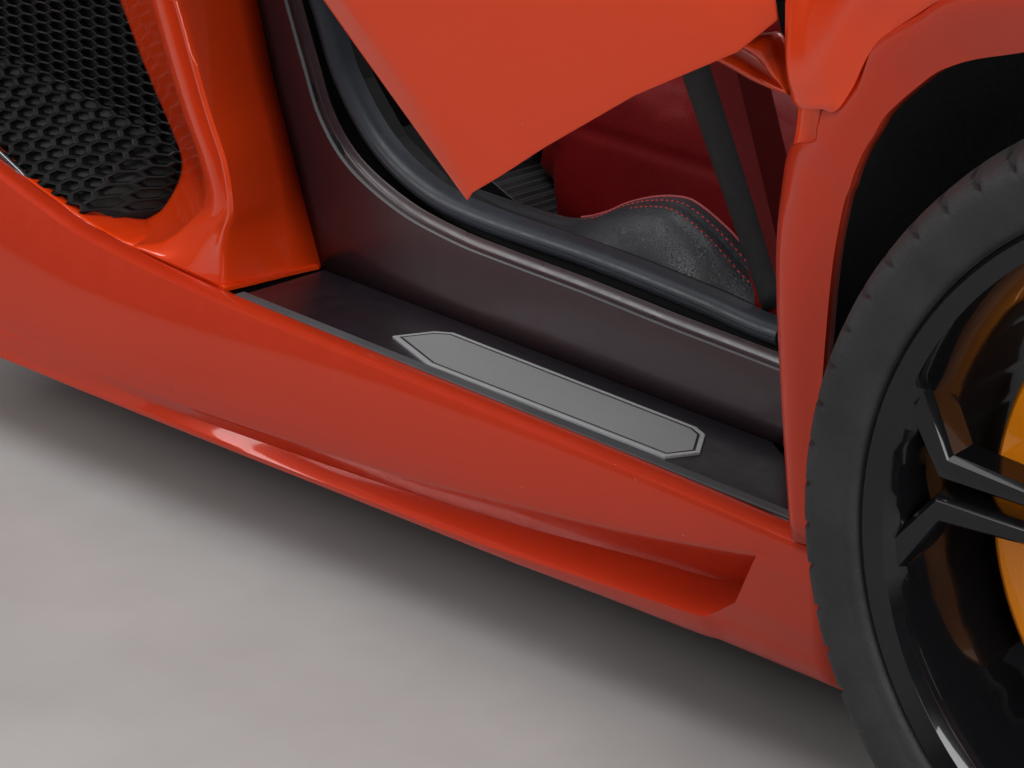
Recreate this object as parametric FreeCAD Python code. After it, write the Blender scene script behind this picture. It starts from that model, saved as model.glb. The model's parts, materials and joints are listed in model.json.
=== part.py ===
import FreeCAD, Part
import math
import os

os.makedirs("parts", exist_ok=True)
V = FreeCAD.Vector

# Right-hand body side of a low two-seat car, door standing open.
# All sizes are in millimetres in the car's own frame: X forward from the front
# axle, Y to the left from the centreline, Z up from the road.
# Every solid is moved to the mount's centre when it is written.
MOUNT_X = -980.0
MOUNT_Y = -138.0
MOUNT_Z = 280.0

# Clearances
PANEL_GAP = 4.0
RUNNING_GAP = 0.05
TOUCH_GAP = 0.0
SKIN = 5.0

# Sill
SILL_FRONT = -385.0
SILL_REAR = -1560.0
RAIL_Y = -926.0
STEP_TOP = 225.0
STEP_THICK = 6.0
STEP_OUTER_Y = -906.0
STEP_INNER_Y = -803.5
STEP_REAR = -1096.0
WALL_OUTER_Y = -803.0
WALL_INNER_Y = -745.0
BEAM_FLOOR = 140.0

# Cabin
FLOOR_Z = 140.0
FLOOR_THICK = 14.0
TUNNEL_Y = -138.0
TUNNEL_THICK = 12.0
TUNNEL_TOP = 430.0
CABIN_FRONT = -432.0
CABIN_REAR = -1560.0
BULKHEAD_FRONT_X = -404.0

# Tyre and rim radii, and how far outboard of the wheel's middle they lie
TYRE_R = 330.0
SHOULDER_R = TYRE_R - 23.0
SHOULDER_OUT = 124.0
SIDEWALL = 55.0
RIM_EDGE_R = TYRE_R - SIDEWALL
RIM_EDGE_OUT = 113.0
RIM_DEPTH = 32.0
BARREL_R = RIM_EDGE_R - RIM_DEPTH
DISC_R = BARREL_R - 55.0
CALIPER_R = DISC_R + 28.0
CALIPER_INNER_R = DISC_R - 64.0

# Front corner
HUB_Z = 325.0
KING_X = -11.04
KING_Y = -801.02
WHEEL_OFFSET = 60.0
REST_STEER = 10.6
BALL_REACH = BARREL_R - 93.0
BALL_LOW = HUB_Z - BALL_REACH
BALL_HIGH = HUB_Z + BALL_REACH
BALL_PIN_R = 10.0
SPINDLE_R = 30.0

# Door hinge
HINGE = V(-420.0, -870.0, 624.0)
HINGE_AXIS = V(0.131, 1.0, 0.360)
HINGE_PIN_R = 12.0
DOOR_OPEN = 64.6


def save(name, shape):
    placed = shape.copy()
    placed.translate(V(-MOUNT_X, -MOUNT_Y, -MOUNT_Z))
    placed.exportStep("parts/" + name + ".step")


def block(x0, x1, y0, y1, z0, z1):
    low = V(min(x0, x1), min(y0, y1), min(z0, z1))
    return Part.makeBox(abs(x1 - x0), abs(y1 - y0), abs(z1 - z0), low)


def rod(start, end, radius):
    line = end - start
    return Part.makeCylinder(radius, line.Length, start, line)


def plate_xz(outline, y0, y1):
    wire = Part.makePolygon([V(x, y0, z) for x, z in outline] + [V(outline[0][0], y0, outline[0][1])])
    return Part.Face(wire).extrude(V(0, y1 - y0, 0))


def plate_xy(outline, z0, z1):
    wire = Part.makePolygon([V(x, y, z0) for x, y in outline] + [V(outline[0][0], outline[0][1], z0)])
    return Part.Face(wire).extrude(V(0, 0, z1 - z0))


def plate_yz(outline, x0, x1):
    wire = Part.makePolygon([V(x0, y, z) for y, z in outline] + [V(x0, outline[0][0], outline[0][1])])
    return Part.Face(wire).extrude(V(x1 - x0, 0, 0))


def fused(shapes):
    whole = shapes[0]
    for piece in shapes[1:]:
        whole = whole.fuse(piece)
    return whole.removeSplitter()


def largest(shape):
    # The main solid of a cut, without the slivers beyond the piece that cut it.
    return sorted(shape.Solids, key=lambda solid: solid.Volume)[-1]


def triangle(a, b, c):
    if (b - a).cross(c - a).Length < 1e-3:
        return []
    return [Part.Face(Part.makePolygon([a, b, c, a]))]


def patch(a, b, c, d):
    # Four corners as two triangles, split across the shorter way.
    if (a - c).Length < (b - d).Length + 0.01:
        return triangle(a, b, c) + triangle(a, c, d)
    return triangle(a, b, d) + triangle(b, c, d)


def closed_solid(faces):
    shell = Part.makeShell(faces)
    solid = Part.makeSolid(shell)
    if solid.Volume < 0:
        solid.reverse()
    return solid


def sheet_solid(outside, inside):
    # Two matching grids of points, joined at their rims into one closed skin.
    faces = []
    rows = len(outside)
    cols = len(outside[0])
    for grid in (outside, inside):
        for i in range(rows - 1):
            for j in range(cols - 1):
                a = grid[i][j]
                b = grid[i][j + 1]
                c = grid[i + 1][j + 1]
                d = grid[i + 1][j]
                faces += patch(a, b, c, d)
    rim = [(0, j) for j in range(cols)]
    rim += [(i, cols - 1) for i in range(1, rows)]
    rim += [(rows - 1, j) for j in range(cols - 2, -1, -1)]
    rim += [(i, 0) for i in range(rows - 2, 0, -1)]
    for k, (i, j) in enumerate(rim):
        m, n = rim[(k + 1) % len(rim)]
        a = outside[i][j]
        b = outside[m][n]
        c = inside[m][n]
        d = inside[i][j]
        faces += patch(a, b, c, d)
    return closed_solid(faces)


def ring_solid(rings, loop=False):
    # Rings of points joined one to the next, with flat ends unless it is a loop.
    faces = []
    count = len(rings)
    size = len(rings[0])
    for i in range(count if loop else count - 1):
        one = rings[i]
        two = rings[(i + 1) % count]
        for j in range(size):
            k = (j + 1) % size
            faces += patch(one[j], one[k], two[k], two[j])
    if not loop:
        for ring in (rings[0], rings[-1]):
            faces.append(Part.Face(Part.makePolygon(ring + [ring[0]])))
    return closed_solid(faces)


def band(path, depth_of, width, shift=0.0, loop=False):
    # A bar of rectangular section along a path that lies on the body side.
    # depth_of is the bar's size across the side, width its size within it,
    # and shift moves it inboard of the path.
    rings = []
    last = len(path) - 1
    for i, here in enumerate(path):
        before = path[i - 1] if (i > 0 or loop) else here
        after = path[(i + 1) % len(path)] if (i < last or loop) else here
        along = (after - before)
        along.normalize()
        across = along.cross(V(0, 1, 0))
        across.normalize()
        side = across.cross(along)
        side.normalize()
        w = across * (width[i] / 2.0 if isinstance(width, list) else width / 2.0)
        if side.y < 0:
            side = side * -1.0
        d = side * (depth_of / 2.0)
        mid = here + side * shift
        rings.append([mid - w - d, mid + w - d, mid + w + d, mid - w + d])
    return ring_solid(rings, loop)


def inset(path, distance):
    # The same open path moved sideways by distance, to the left of its run.
    sides = []
    for here, after in zip(path, path[1:]):
        size = math.hypot(after[0] - here[0], after[1] - here[1])
        sides.append(((here[1] - after[1]) / size, (after[0] - here[0]) / size))
    moved = []
    for i, here in enumerate(path):
        one = sides[max(i - 1, 0)]
        two = sides[min(i, len(sides) - 1)]
        reach = distance / (1.0 + one[0] * two[0] + one[1] * two[1])
        moved.append((here[0] + (one[0] + two[0]) * reach, here[1] + (one[1] + two[1]) * reach))
    return moved


def smooth(points, steps):
    # A curve through the points, with its corners rounded by their neighbours.
    ends = [points[0] * 2.0 - points[1]] + points + [points[-1] * 2.0 - points[-2]]
    curve = []
    for a, b, c, d in zip(ends, ends[1:], ends[2:], ends[3:]):
        for k in range(steps):
            t = k / steps
            curve.append((b * 2.0 + (c - a) * t + (a * 2.0 - b * 5.0 + c * 4.0 - d) * t ** 2
                          + (b * 3.0 - a - c * 3.0 + d) * t ** 3) * 0.5)
    return curve + [points[-1]]


def smooth_grid(rows, row_steps, col_steps):
    columns = [smooth(list(column), row_steps) for column in zip(*rows)]
    return [smooth(list(row), col_steps) for row in zip(*columns)]


# Side skirt with its air channel
# up and low are the heights of the channel's upper crease and lower lip, floor and
# floor_x the place of its deepest line, low_x the lip's place along the car, and
# wall how far forward the inner face lies, which gives the front wall its thickness.
skirt_stations = [
    {"x": -376.0, "rail_z": 220.0, "foot_y": -893.0, "foot_z": 94.0, "deep": 0.0,
     "up": 200.0, "floor": 146.0, "low": 118.0, "floor_x": -376.0, "low_x": -376.0, "wall": 0.0},
    {"x": -437.0, "rail_z": 221.0, "foot_y": -896.0, "foot_z": 93.0, "deep": 0.0,
     "up": 200.0, "floor": 146.0, "low": 118.0, "floor_x": -468.0, "low_x": -505.0, "wall": 5.0},
    {"x": -440.0, "rail_z": 221.0, "foot_y": -897.0, "foot_z": 93.0, "deep": 44.0,
     "up": 199.0, "floor": 144.0, "low": 118.0, "floor_x": -473.0, "low_x": -512.0, "wall": 5.0},
    {"x": -500.0, "rail_z": 222.0, "foot_y": -899.0, "foot_z": 92.0, "deep": 44.0,
     "up": 187.0, "floor": 132.0, "low": 116.0, "floor_x": -516.0, "low_x": -532.0, "wall": 0.0},
    {"x": -610.0, "rail_z": 223.0, "foot_y": -904.0, "foot_z": 91.0, "deep": 35.0,
     "up": 168.0, "floor": 126.0, "low": 109.0, "floor_x": -617.0, "low_x": -625.0, "wall": 0.0},
    {"x": -730.0, "rail_z": 223.0, "foot_y": -912.0, "foot_z": 90.0, "deep": 27.0,
     "up": 153.0, "floor": 117.0, "low": 102.0, "floor_x": -735.0, "low_x": -740.0, "wall": 0.0},
    {"x": -880.0, "rail_z": 223.0, "foot_y": -920.0, "foot_z": 90.0, "deep": 18.0,
     "up": 136.0, "floor": 111.0, "low": 101.0, "floor_x": -883.0, "low_x": -885.0, "wall": 0.0},
    {"x": -1130.0, "rail_z": 224.0, "foot_y": -936.0, "foot_z": 91.0, "deep": 6.0,
     "up": 124.0, "floor": 110.0, "low": 102.0, "floor_x": -1130.0, "low_x": -1130.0, "wall": 0.0},
    {"x": -1290.0, "rail_z": 233.0, "foot_y": -945.0, "foot_z": 91.0, "deep": 0.0,
     "up": 124.0, "floor": 112.0, "low": 103.0, "floor_x": -1290.0, "low_x": -1290.0, "wall": 0.0},
    {"x": -1360.0, "rail_z": 245.0, "foot_y": -948.0, "foot_z": 91.0, "deep": 0.0,
     "up": 124.0, "floor": 112.0, "low": 103.0, "floor_x": -1360.0, "low_x": -1360.0, "wall": 0.0},
    {"x": -1430.0, "rail_z": 261.0, "foot_y": -952.0, "foot_z": 91.0, "deep": 0.0,
     "up": 125.0, "floor": 113.0, "low": 104.0, "floor_x": -1430.0, "low_x": -1430.0, "wall": 0.0},
    {"x": -1700.0, "rail_z": 330.0, "foot_y": -962.0, "foot_z": 93.0, "deep": 0.0,
     "up": 126.0, "floor": 115.0, "low": 106.0, "floor_x": -1700.0, "low_x": -1700.0, "wall": 0.0},
]


def skirt_side(s, z):
    # Y of the skirt's outer face at height z.
    low = s["foot_z"]
    t = (z - low) / (s["rail_z"] - low)
    return s["foot_y"] + (RAIL_Y - s["foot_y"]) * t - 9.0 * 4.0 * t * (1.0 - t)


skirt_rings = []
for s in skirt_stations:
    rail = s["rail_z"]
    mid = (rail + s["up"]) / 2.0
    outer = [
        (s["x"], RAIL_Y + 17.0, rail + 4.5),
        (s["x"], RAIL_Y + 5.0, rail + 3.0),
        (s["x"], RAIL_Y, rail - 4.0),
        (s["x"], skirt_side(s, mid), mid),
        (s["x"], skirt_side(s, s["up"]), s["up"]),
        (s["floor_x"], skirt_side(s, s["floor"]) + s["deep"], s["floor"]),
        (s["low_x"], skirt_side(s, s["low"]), s["low"]),
        (s["low_x"], s["foot_y"], s["foot_z"] + 3.0),
        (s["low_x"], s["foot_y"] + 8.0, s["foot_z"]),
        (s["low_x"], -845.0, s["foot_z"] + 4.0),
    ]
    inner = inset([(y, z) for x, y, z in outer], SKIN)
    ring = [V(*place) for place in outer]
    ring += [V(place[0] + s["wall"], y, z) for place, (y, z) in zip(reversed(outer), reversed(inner))]
    skirt_rings.append(ring)
skirt = ring_solid(skirt_rings)
save("side_skirt", skirt)

# Sill beam, a hollow box under the step
beam_outline = [(-903.0, 150.0), (-903.0, 214.0), (-898.0, 219.0), (WALL_INNER_Y, 219.0), (WALL_INNER_Y, 140.0), (-880.0, 140.0)]
beam_hollow = [(-891.0, 160.0), (-891.0, 207.0), (WALL_INNER_Y - 12.0, 207.0), (WALL_INNER_Y - 12.0, 152.0), (-875.0, 152.0)]
beam = plate_yz(beam_outline, SILL_REAR, SILL_FRONT).cut(block(-722.0, -424.0, -905.0, -842.0, 90.0, 196.0))
hollow = plate_yz(beam_hollow, SILL_REAR + 12.0, SILL_FRONT - 12.0)
beam = beam.cut(hollow.cut(block(-734.0, -412.0, -905.0, -830.0, 90.0, 208.0)))
for x in (-750.0, -1010.0, -1300.0):
    beam = beam.fuse(block(x - 12.0, x + 12.0, -860.0, -845.5, 96.5, 145.0).cut(skirt))
save("sill_beam", beam.removeSplitter())

# Step, its edge strip and its tread plate
step_outline = [
    (STEP_REAR, STEP_OUTER_Y),
    (SILL_FRONT, STEP_OUTER_Y),
    (SILL_FRONT, -890.0),
    (-540.0, STEP_INNER_Y),
    (STEP_REAR, STEP_INNER_Y),
]
save("sill_step", plate_xy(step_outline, STEP_TOP - STEP_THICK, STEP_TOP))
strip = block(STEP_REAR, -416.0, STEP_OUTER_Y + 0.5, STEP_OUTER_Y + 11.0, STEP_TOP, STEP_TOP + 2.5)
save("step_strip", strip)
tread_outline = [
    (-851.0, -893.5),
    (-574.0, -890.0),
    (-561.0, -864.0),
    (-584.0, -835.0),
    (-600.0, -829.0),
    (-892.0, -829.0),
    (-906.0, -839.0),
    (-922.0, -872.0),
]
save("tread_plate", plate_xy(tread_outline, STEP_TOP, STEP_TOP + 2.5))

# Seal and trim round the door opening, on the tub's ring
opening_leg = [V(-579.0, -775.0, 296.0), V(-584.0, -775.0, 330.0), V(-646.0, -775.0, 500.0), V(-674.0, -774.0, 560.0)]
opening_top = [
    V(-712.0, -752.0, 640.0), V(-800.0, -678.0, 820.0), V(-930.0, -600.0, 1005.0), V(-1010.0, -577.0, 1060.0),
    V(-1180.0, -568.0, 1076.0), V(-1330.0, -577.0, 1060.0), V(-1372.0, -598.0, 1020.0), V(-1310.0, -655.0, 880.0),
    V(-1225.0, -728.0, 700.0), V(-1152.0, -774.0, 540.0),
]
opening_foot = [
    V(-1113.0, -775.0, 440.0), V(-1090.0, -775.0, 394.0), V(-1047.0, -775.0, 349.0), V(-990.0, -775.0, 322.0),
    V(-917.0, -775.0, 312.0), V(-768.0, -775.0, 312.0), V(-651.0, -775.0, 308.0), V(-609.0, -775.0, 305.0),
]
seal = band(opening_leg[3:] + opening_top + opening_foot, 24.0, 20.0)
leg_trim = band(opening_leg, 24.0, [38.0, 40.0, 30.0, 27.0]).cut(seal)
save("door_seal", seal)
save("front_leg_trim", leg_trim)

# Tub side wall, with its lip and the wall that backs the seal
lip_line = [
    (-541.0, 284.0), (-663.0, 286.0), (-762.0, 290.0), (-922.0, 290.0), (-994.0, 301.0),
    (-1061.0, 326.0), (-1100.0, 363.0), (-1122.0, 414.0), (-1144.0, 464.0), (-1166.0, 520.0),
]
wall_back = [(-1202.0, 520.0), (-1181.0, 458.0), (-1161.0, 388.0), (-1130.0, 302.0), (-1101.0, 219.5), (-541.0, 219.5)]
back_line = [(-541.0, 302.0), (-600.0, 303.0)] + [(p.x, p.z) for p in reversed(opening_foot)][1:] + [(-1146.0, 520.0)]


def lowered(line, down, back):
    return [(x - back if z > 295.0 else x, z - down if z < 420.0 else z) for x, z in line]


wall = fused([
    plate_xz(lip_line + wall_back, WALL_OUTER_Y, -790.0),
    plate_xz(lowered(lip_line, 12.0, 8.0) + wall_back, -790.0, WALL_INNER_Y),
    plate_xz(back_line + wall_back, -772.0, WALL_INNER_Y),
])
wall = wall.cut(seal).cut(leg_trim)
save("tub_wall", wall)
ring = band(opening_leg + opening_top + [V(-1142.0, -775.0, 512.0)], 32.0, 40.0, 28.2)
ring = ring.cut(wall).cut(seal).cut(leg_trim)
save("tub_ring", ring)

# Floor, tunnel side and bulkheads
floor = block(CABIN_REAR, BULKHEAD_FRONT_X, WALL_INNER_Y, TUNNEL_Y - TUNNEL_THICK, FLOOR_Z, FLOOR_Z + FLOOR_THICK)
save("floor_pan", floor)
tunnel = block(CABIN_REAR, BULKHEAD_FRONT_X, TUNNEL_Y - TUNNEL_THICK, TUNNEL_Y, FLOOR_Z, TUNNEL_TOP)
tunnel_bolts = {"x": 420.0, "z": 80.0, "radius": 5.5}
for sx in (-1.0, 1.0):
    for sz in (-1.0, 1.0):
        centre = V(MOUNT_X + sx * tunnel_bolts["x"], TUNNEL_Y - 20.0, MOUNT_Z + sz * tunnel_bolts["z"])
        tunnel = tunnel.cut(Part.makeCylinder(tunnel_bolts["radius"], 40.0, centre, V(0, 1, 0)))
save("tunnel_side", tunnel)
front_wall = block(CABIN_FRONT, BULKHEAD_FRONT_X, WALL_INNER_Y, TUNNEL_Y - TUNNEL_THICK, FLOOR_Z + FLOOR_THICK, 640.0)
save("front_bulkhead", front_wall)
rear_outline = [(-745.0, 154.0), (-150.0, 154.0), (-150.0, 1000.0), (-560.0, 1000.0), (-700.0, 700.0), (-745.0, 520.0)]
rear_wall = plate_yz(rear_outline, CABIN_REAR, CABIN_REAR + 20.0)
rear_side = [(-1560.0, 154.0), (-1560.0, 700.0), (-1230.0, 560.0), (-1203.0, 519.0), (-1130.0, 260.0), (-1102.0, 219.5), (-1102.0, 154.0)]
rear_wall = rear_wall.fuse(plate_xz(rear_side, WALL_INNER_Y, WALL_INNER_Y + 10.0).cut(ring))
save("rear_bulkhead", rear_wall.removeSplitter())

# Hinge pillar panel between the wing and the front leg of the opening
pillar_out = [(-409.0, -904.0), (-409.0, -899.0), (-540.0, -795.0), (-540.0, -745.5), (-404.5, -745.5), (-404.5, -904.0)]
pillar = plate_xy(pillar_out, 225.3, 455.0)
pillar = pillar.cut(plate_xy([(-415.0, -888.0), (-528.0, -792.0), (-528.0, -757.5), (-415.0, -757.5)], 237.0, 445.0))

# Front wing over the wheel, as three rows from the arch lip to the seams
wing_rows = [
    [(-376, -928, 226), (-374, -930, 329), (-365, -932, 439), (-342, -940, 516), (-292, -950, 592), (-190, -962, 646),
     (-50, -985, 690), (150, -985, 690), (290, -972, 610), (352, -962, 490), (374, -955, 340), (376, -945, 226)],
    [(-390, -931, 226), (-396, -934, 335), (-396, -936, 440), (-384, -944, 523), (-364, -948, 612), (-290, -962, 700),
     (-70, -985, 752), (160, -980, 750), (340, -960, 655), (402, -955, 510), (414, -950, 345), (414, -942, 226)],
    [(-405, -926, 226), (-418, -926, 340), (-425, -926, 440), (-417, -926, 520), (-424, -926, 631), (-422, -880, 735),
     (-300, -800, 815), (100, -745, 810), (370, -740, 745), (448, -880, 560), (452, -935, 345), (452, -935, 226)],
]
wing_out = [[V(*p) for p in row] for row in wing_rows]
inward = [V(0, 5, 0), V(0, 5, 0), V(0, 5, 0), V(0, 5, 0), V(2, 5, -1), V(3, 4, -3),
          V(0, 3, -5), V(0, 3, -5), V(-2, 3, -4), V(-3, 4, -2), V(0, 5, 0), V(0, 5, 0)]
wing_in = [[p + inward[j] for j, p in enumerate(row)] for row in wing_out]
wing = sheet_solid(smooth_grid(wing_out, 2, 3), smooth_grid(wing_in, 2, 3))
save("front_wing", wing)
for z in (250.0, 400.0):
    pillar = pillar.fuse(block(-408.0, -404.5, -923.5, -903.0, z, z + 40.0).cut(wing))
save("hinge_pillar", pillar.removeSplitter())

# Wheel arch liner
liner_outer = [
    (-404.0, 229.0), (-404.0, 440.0), (-385.0, 524.0), (-338.0, 604.0), (-228.0, 672.0), (-60.0, 716.0),
    (150.0, 716.0), (296.0, 640.0), (366.0, 530.0), (386.0, 440.0), (386.0, 229.0),
]
liner_inner = [
    (-400.0, 229.0), (-400.0, 439.0), (-381.0, 522.0), (-335.0, 600.0), (-226.0, 668.0), (-60.0, 712.0),
    (149.0, 712.0), (293.0, 637.0), (362.0, 528.0), (382.0, 439.0), (382.0, 229.0),
]
liner = plate_xz(liner_outer + list(reversed(liner_inner)), -919.5, -600.0)
for z in (260.0, 400.0):
    liner = liner.fuse(block(385.0, 400.0, -948.5, -900.0, z, z + 40.0).cut(wing))
save("arch_liner", largest(liner.removeSplitter()))

# Front frame, two rails and two posts, with the arms' brackets
frame = [
    block(BULKHEAD_FRONT_X, 420.0, -470.0, -410.0, 170.0, 240.0),
    block(BULKHEAD_FRONT_X, 420.0, -470.0, -410.0, 460.0, 530.0),
    block(-250.0, -200.0, -470.0, -410.0, 240.0, 460.0),
    block(130.0, 180.0, -470.0, -410.0, 240.0, 460.0),
]
save("front_frame", fused(frame))

# Wishbones, each two legs to a boss with an upright ball pin
arm_table = [
    {"name": "lower_arm", "ball": BALL_LOW, "up": 1.0, "inner_z": 205.0, "spread": 155.0},
    {"name": "upper_arm", "ball": BALL_HIGH, "up": -1.0, "inner_z": 495.0, "spread": 125.0},
]
for row in arm_table:
    up = row["up"]
    face = row["ball"] - up * 23.0
    boss_mid = face - up * 11.0
    boss = rod(V(KING_X, KING_Y, face), V(KING_X, KING_Y, face - up * 22.0), 20.0)
    pin = rod(V(KING_X, KING_Y, face - up * 22.0), V(KING_X, KING_Y, row["ball"] + up * 18.0), BALL_PIN_R)
    pieces = [boss, pin]
    for side in (-1.0, 1.0):
        root = V(side * row["spread"], -484.0, row["inner_z"])
        tip = V(KING_X + side * 10.0, KING_Y + 8.0, boss_mid)
        pieces.append(rod(tip, root, 9.0))
        pieces.append(rod(V(root.x - 20.0, -484.0, root.z), V(root.x + 20.0, -484.0, root.z), 14.0))
    save(row["name"], fused(pieces))

# Steering rack housing on the lower rail
ARM_BACK = 96.0
rack_z = 300.0
rack_x = KING_X - 90.0
rack = Part.makeCylinder(40.0, 160.0, V(rack_x, -560.0, rack_z), V(0, 1, 0))
rack = rack.cut(Part.makeCylinder(30.0, 148.0, V(rack_x, -560.0, rack_z), V(0, 1, 0)))
foot = block(rack_x - 12.0, rack_x + 12.0, -468.0, -412.0, 240.0, 266.0)
foot = foot.cut(Part.makeCylinder(35.0, 160.0, V(rack_x, -560.0, rack_z), V(0, 1, 0)))
save("steering_rack", rack.fuse(foot).removeSplitter())

# Seat on its rails
rails = [block(-1150.0, -640.0, y - 20.0, y + 20.0, 154.0, 176.0) for y in (-560.0, -260.0)]
save("seat_rails", Part.makeCompound(rails))
shell_side = [
    (-640.0, 182.0), (-620.0, 230.0), (-640.0, 262.0), (-1020.0, 232.0), (-1100.0, 262.0), (-1150.0, 380.0),
    (-1330.0, 860.0), (-1362.0, 852.0), (-1190.0, 370.0), (-1140.0, 220.0), (-1090.0, 182.0),
]
shell = plate_xz(shell_side, -600.0, -225.0)
feet = [block(-1120.0, -670.0, y - 18.0, y + 18.0, 176.5, 183.0) for y in (-560.0, -260.0)]
shell = fused([shell] + feet)
save("seat_shell", shell)
cushion_side = [(-650.0, 262.5), (-625.0, 300.0), (-650.0, 345.0), (-1000.0, 318.0), (-1085.0, 300.0), (-1095.0, 265.0), (-1020.0, 233.0)]
save("seat_cushion", plate_xz(cushion_side, -560.0, -265.0).cut(shell))
back_side = [(-1096.0, 300.0), (-1030.0, 330.0), (-1060.0, 420.0), (-1225.0, 840.0), (-1290.0, 900.0), (-1330.0, 862.0), (-1150.0, 381.0), (-1101.0, 263.0)]
save("seat_back", plate_xz(back_side, -560.0, -265.0).cut(shell))
bolster_side = [(-650.0, 240.0), (-610.0, 300.0), (-640.0, 400.0), (-760.0, 428.0), (-985.0, 415.0), (-1012.0, 340.0), (-1000.0, 240.0)]
bolsters = [
    plate_xz(bolster_side, -620.0, -560.5).cut(shell),
    plate_xz(bolster_side, -264.5, -224.5).cut(shell),
]
save("seat_bolsters", Part.makeCompound(bolsters))

# Leather hump on the sill inside the seal
hump_side = [(-871.0, 225.0), (-871.0, 296.0), (-850.0, 313.0), (-821.0, 329.0), (-786.0, 343.0), (-753.0, 350.0),
             (-732.0, 346.0), (-704.0, 336.0), (-660.0, 312.0), (-620.0, 294.0), (-590.0, 225.0)]
hump = plate_xz(hump_side, WALL_INNER_Y, -690.0)
trim_long = block(-1100.0, -871.0, WALL_INNER_Y, -700.0, 225.0, 296.0)
trim_foot = block(-1100.0, -590.0, WALL_INNER_Y, -733.0, FLOOR_Z + FLOOR_THICK, 225.0)
save("sill_trim", fused([hump, trim_long, trim_foot]))

# Rear quarter: painted cover on the rear post, duct, mesh and fin
# The cover's edge towards the cabin, its outer corner, the groove behind that, the
# crease where it turns into the duct, and the inner wall's end at the mesh.
cover_levels = [
    {"z": 226.0, "lean": 0.0, "in_x": -1100.0, "out_x": -1114.0, "crease": (-1222.0, -897.0), "groove": 0.0, "end": (-1268.0, -827.0)},
    {"z": 250.0, "lean": 0.0, "in_x": -1108.0, "out_x": -1112.0, "crease": (-1204.0, -889.0), "groove": 0.0, "end": (-1277.0, -824.0)},
    {"z": 274.0, "lean": 0.0, "in_x": -1118.0, "out_x": -1107.0, "crease": (-1181.0, -883.0), "groove": 2.0, "end": (-1281.0, -823.0)},
    {"z": 292.0, "lean": 0.0, "in_x": -1125.0, "out_x": -1101.0, "crease": (-1169.0, -880.0), "groove": 6.0, "end": (-1282.0, -823.0)},
    {"z": 313.0, "lean": 0.0, "in_x": -1132.0, "out_x": -1100.0, "crease": (-1172.0, -880.0), "groove": 12.0, "end": (-1291.0, -825.0)},
    {"z": 345.0, "lean": 0.0, "in_x": -1143.0, "out_x": -1111.0, "crease": (-1184.0, -880.0), "groove": 16.0, "end": (-1308.0, -827.0)},
    {"z": 388.0, "lean": 0.0, "in_x": -1159.0, "out_x": -1127.0, "crease": (-1204.0, -880.0), "groove": 16.0, "end": (-1331.0, -831.0)},
    {"z": 458.0, "lean": 0.0, "in_x": -1179.0, "out_x": -1152.0, "crease": (-1235.0, -880.0), "groove": 16.0, "end": (-1365.0, -836.0)},
    {"z": 520.0, "lean": 0.0, "in_x": -1200.0, "out_x": -1176.0, "crease": (-1262.0, -878.0), "groove": 16.0, "end": (-1390.0, -840.0)},
    {"z": 620.0, "lean": 19.0, "in_x": -1242.0, "out_x": -1216.0, "crease": (-1310.0, -860.0), "groove": 12.0, "end": (-1416.0, -845.0)},
    {"z": 665.0, "lean": 33.0, "in_x": -1262.0, "out_x": -1241.0, "crease": (-1332.0, -843.0), "groove": 10.0, "end": (-1424.0, -849.0)},
    {"z": 780.0, "lean": 70.0, "in_x": -1312.0, "out_x": -1304.0, "crease": (-1390.0, -800.0), "groove": 6.0, "end": (-1440.0, -790.0)},
]
COVER_THICK = 4.0
cover_rings = []
for row in cover_levels:
    corner_y = -905.0 + row["lean"]
    crease_x, crease_y = row["crease"]
    out_x = row["out_x"]

    def between(t, deep):
        return (out_x + (crease_x - out_x) * t, corner_y + (crease_y - corner_y) * t + deep)

    path = [
        (row["in_x"], -804.0 + row["lean"]),
        (out_x, corner_y + 8.0),
        (out_x - 7.0, corner_y),
        between(0.22, 0.0),
        between(0.40, row["groove"]),
        between(0.66, 0.0),
        row["crease"],
        row["end"],
    ]
    hidden = inset(path, -COVER_THICK)
    cover_rings.append([V(x, y, row["z"]) for x, y in path + list(reversed(hidden))])
cover = ring_solid(cover_rings)
save("quarter_cover", cover)

panel_out = [
    [V(-1220, -912, 640), V(-1450, -940, 660), V(-1700, -960, 680)],
    [V(-1262, -880, 740), V(-1480, -905, 770), V(-1700, -925, 790)],
    [V(-1312, -820, 800), V(-1500, -830, 860), V(-1700, -840, 880)],
]
panel_in = [[p + V(0, 5, -2) for p in row] for row in panel_out]
mesh_line = [(-1240.0, -812.0), (-1690.0, -880.0)]


def along_mesh(x, off):
    t = (x - mesh_line[0][0]) / (mesh_line[1][0] - mesh_line[0][0])
    return mesh_line[0][1] + (mesh_line[1][1] - mesh_line[0][1]) * t + off


floor_rings = []
for x, lift in ((-1226.0, 0.0), (-1300.0, 6.0), (-1430.0, 34.0), (-1700.0, 102.0)):
    y_in = along_mesh(x, -0.3)
    floor_rings.append([
        V(x, -908.5, 231.0 + lift),
        V(x, y_in, 225.0 + lift * 0.9),
        V(x, y_in, 219.7 + lift * 0.9),
        V(x, -908.5, 225.0 + lift),
    ])
duct_floor = ring_solid(floor_rings)
roof_rings = []
for x, lift in ((-1235.0, 0.0), (-1450.0, 20.0), (-1700.0, 40.0)):
    y_in = along_mesh(x, -0.3)
    y_out = -912.0 - (x + 1220.0) * -0.09
    roof_rings.append([
        V(x, y_out + 7.0, 640.5 + lift),
        V(x, y_in, 634.0 + lift),
        V(x, y_in, 629.0 + lift),
        V(x, y_out + 7.0, 635.0 + lift),
    ])
duct_roof = ring_solid(roof_rings)
closing_outline = [(-955.0, 345.0), (-925.0, 790.0), (-840.0, 880.0), (-820.0, 330.0), (-820.0, 150.0), (-945.0, 130.0)]
closing = plate_yz(closing_outline, -1704.0, -1699.5)
duct = fused([duct_floor, duct_roof, closing])
quarter = sheet_solid(panel_out, panel_in)
duct = largest(duct.cut(cover).cut(quarter).cut(skirt))
save("quarter_panel", quarter)
save("intake_duct", duct)
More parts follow.
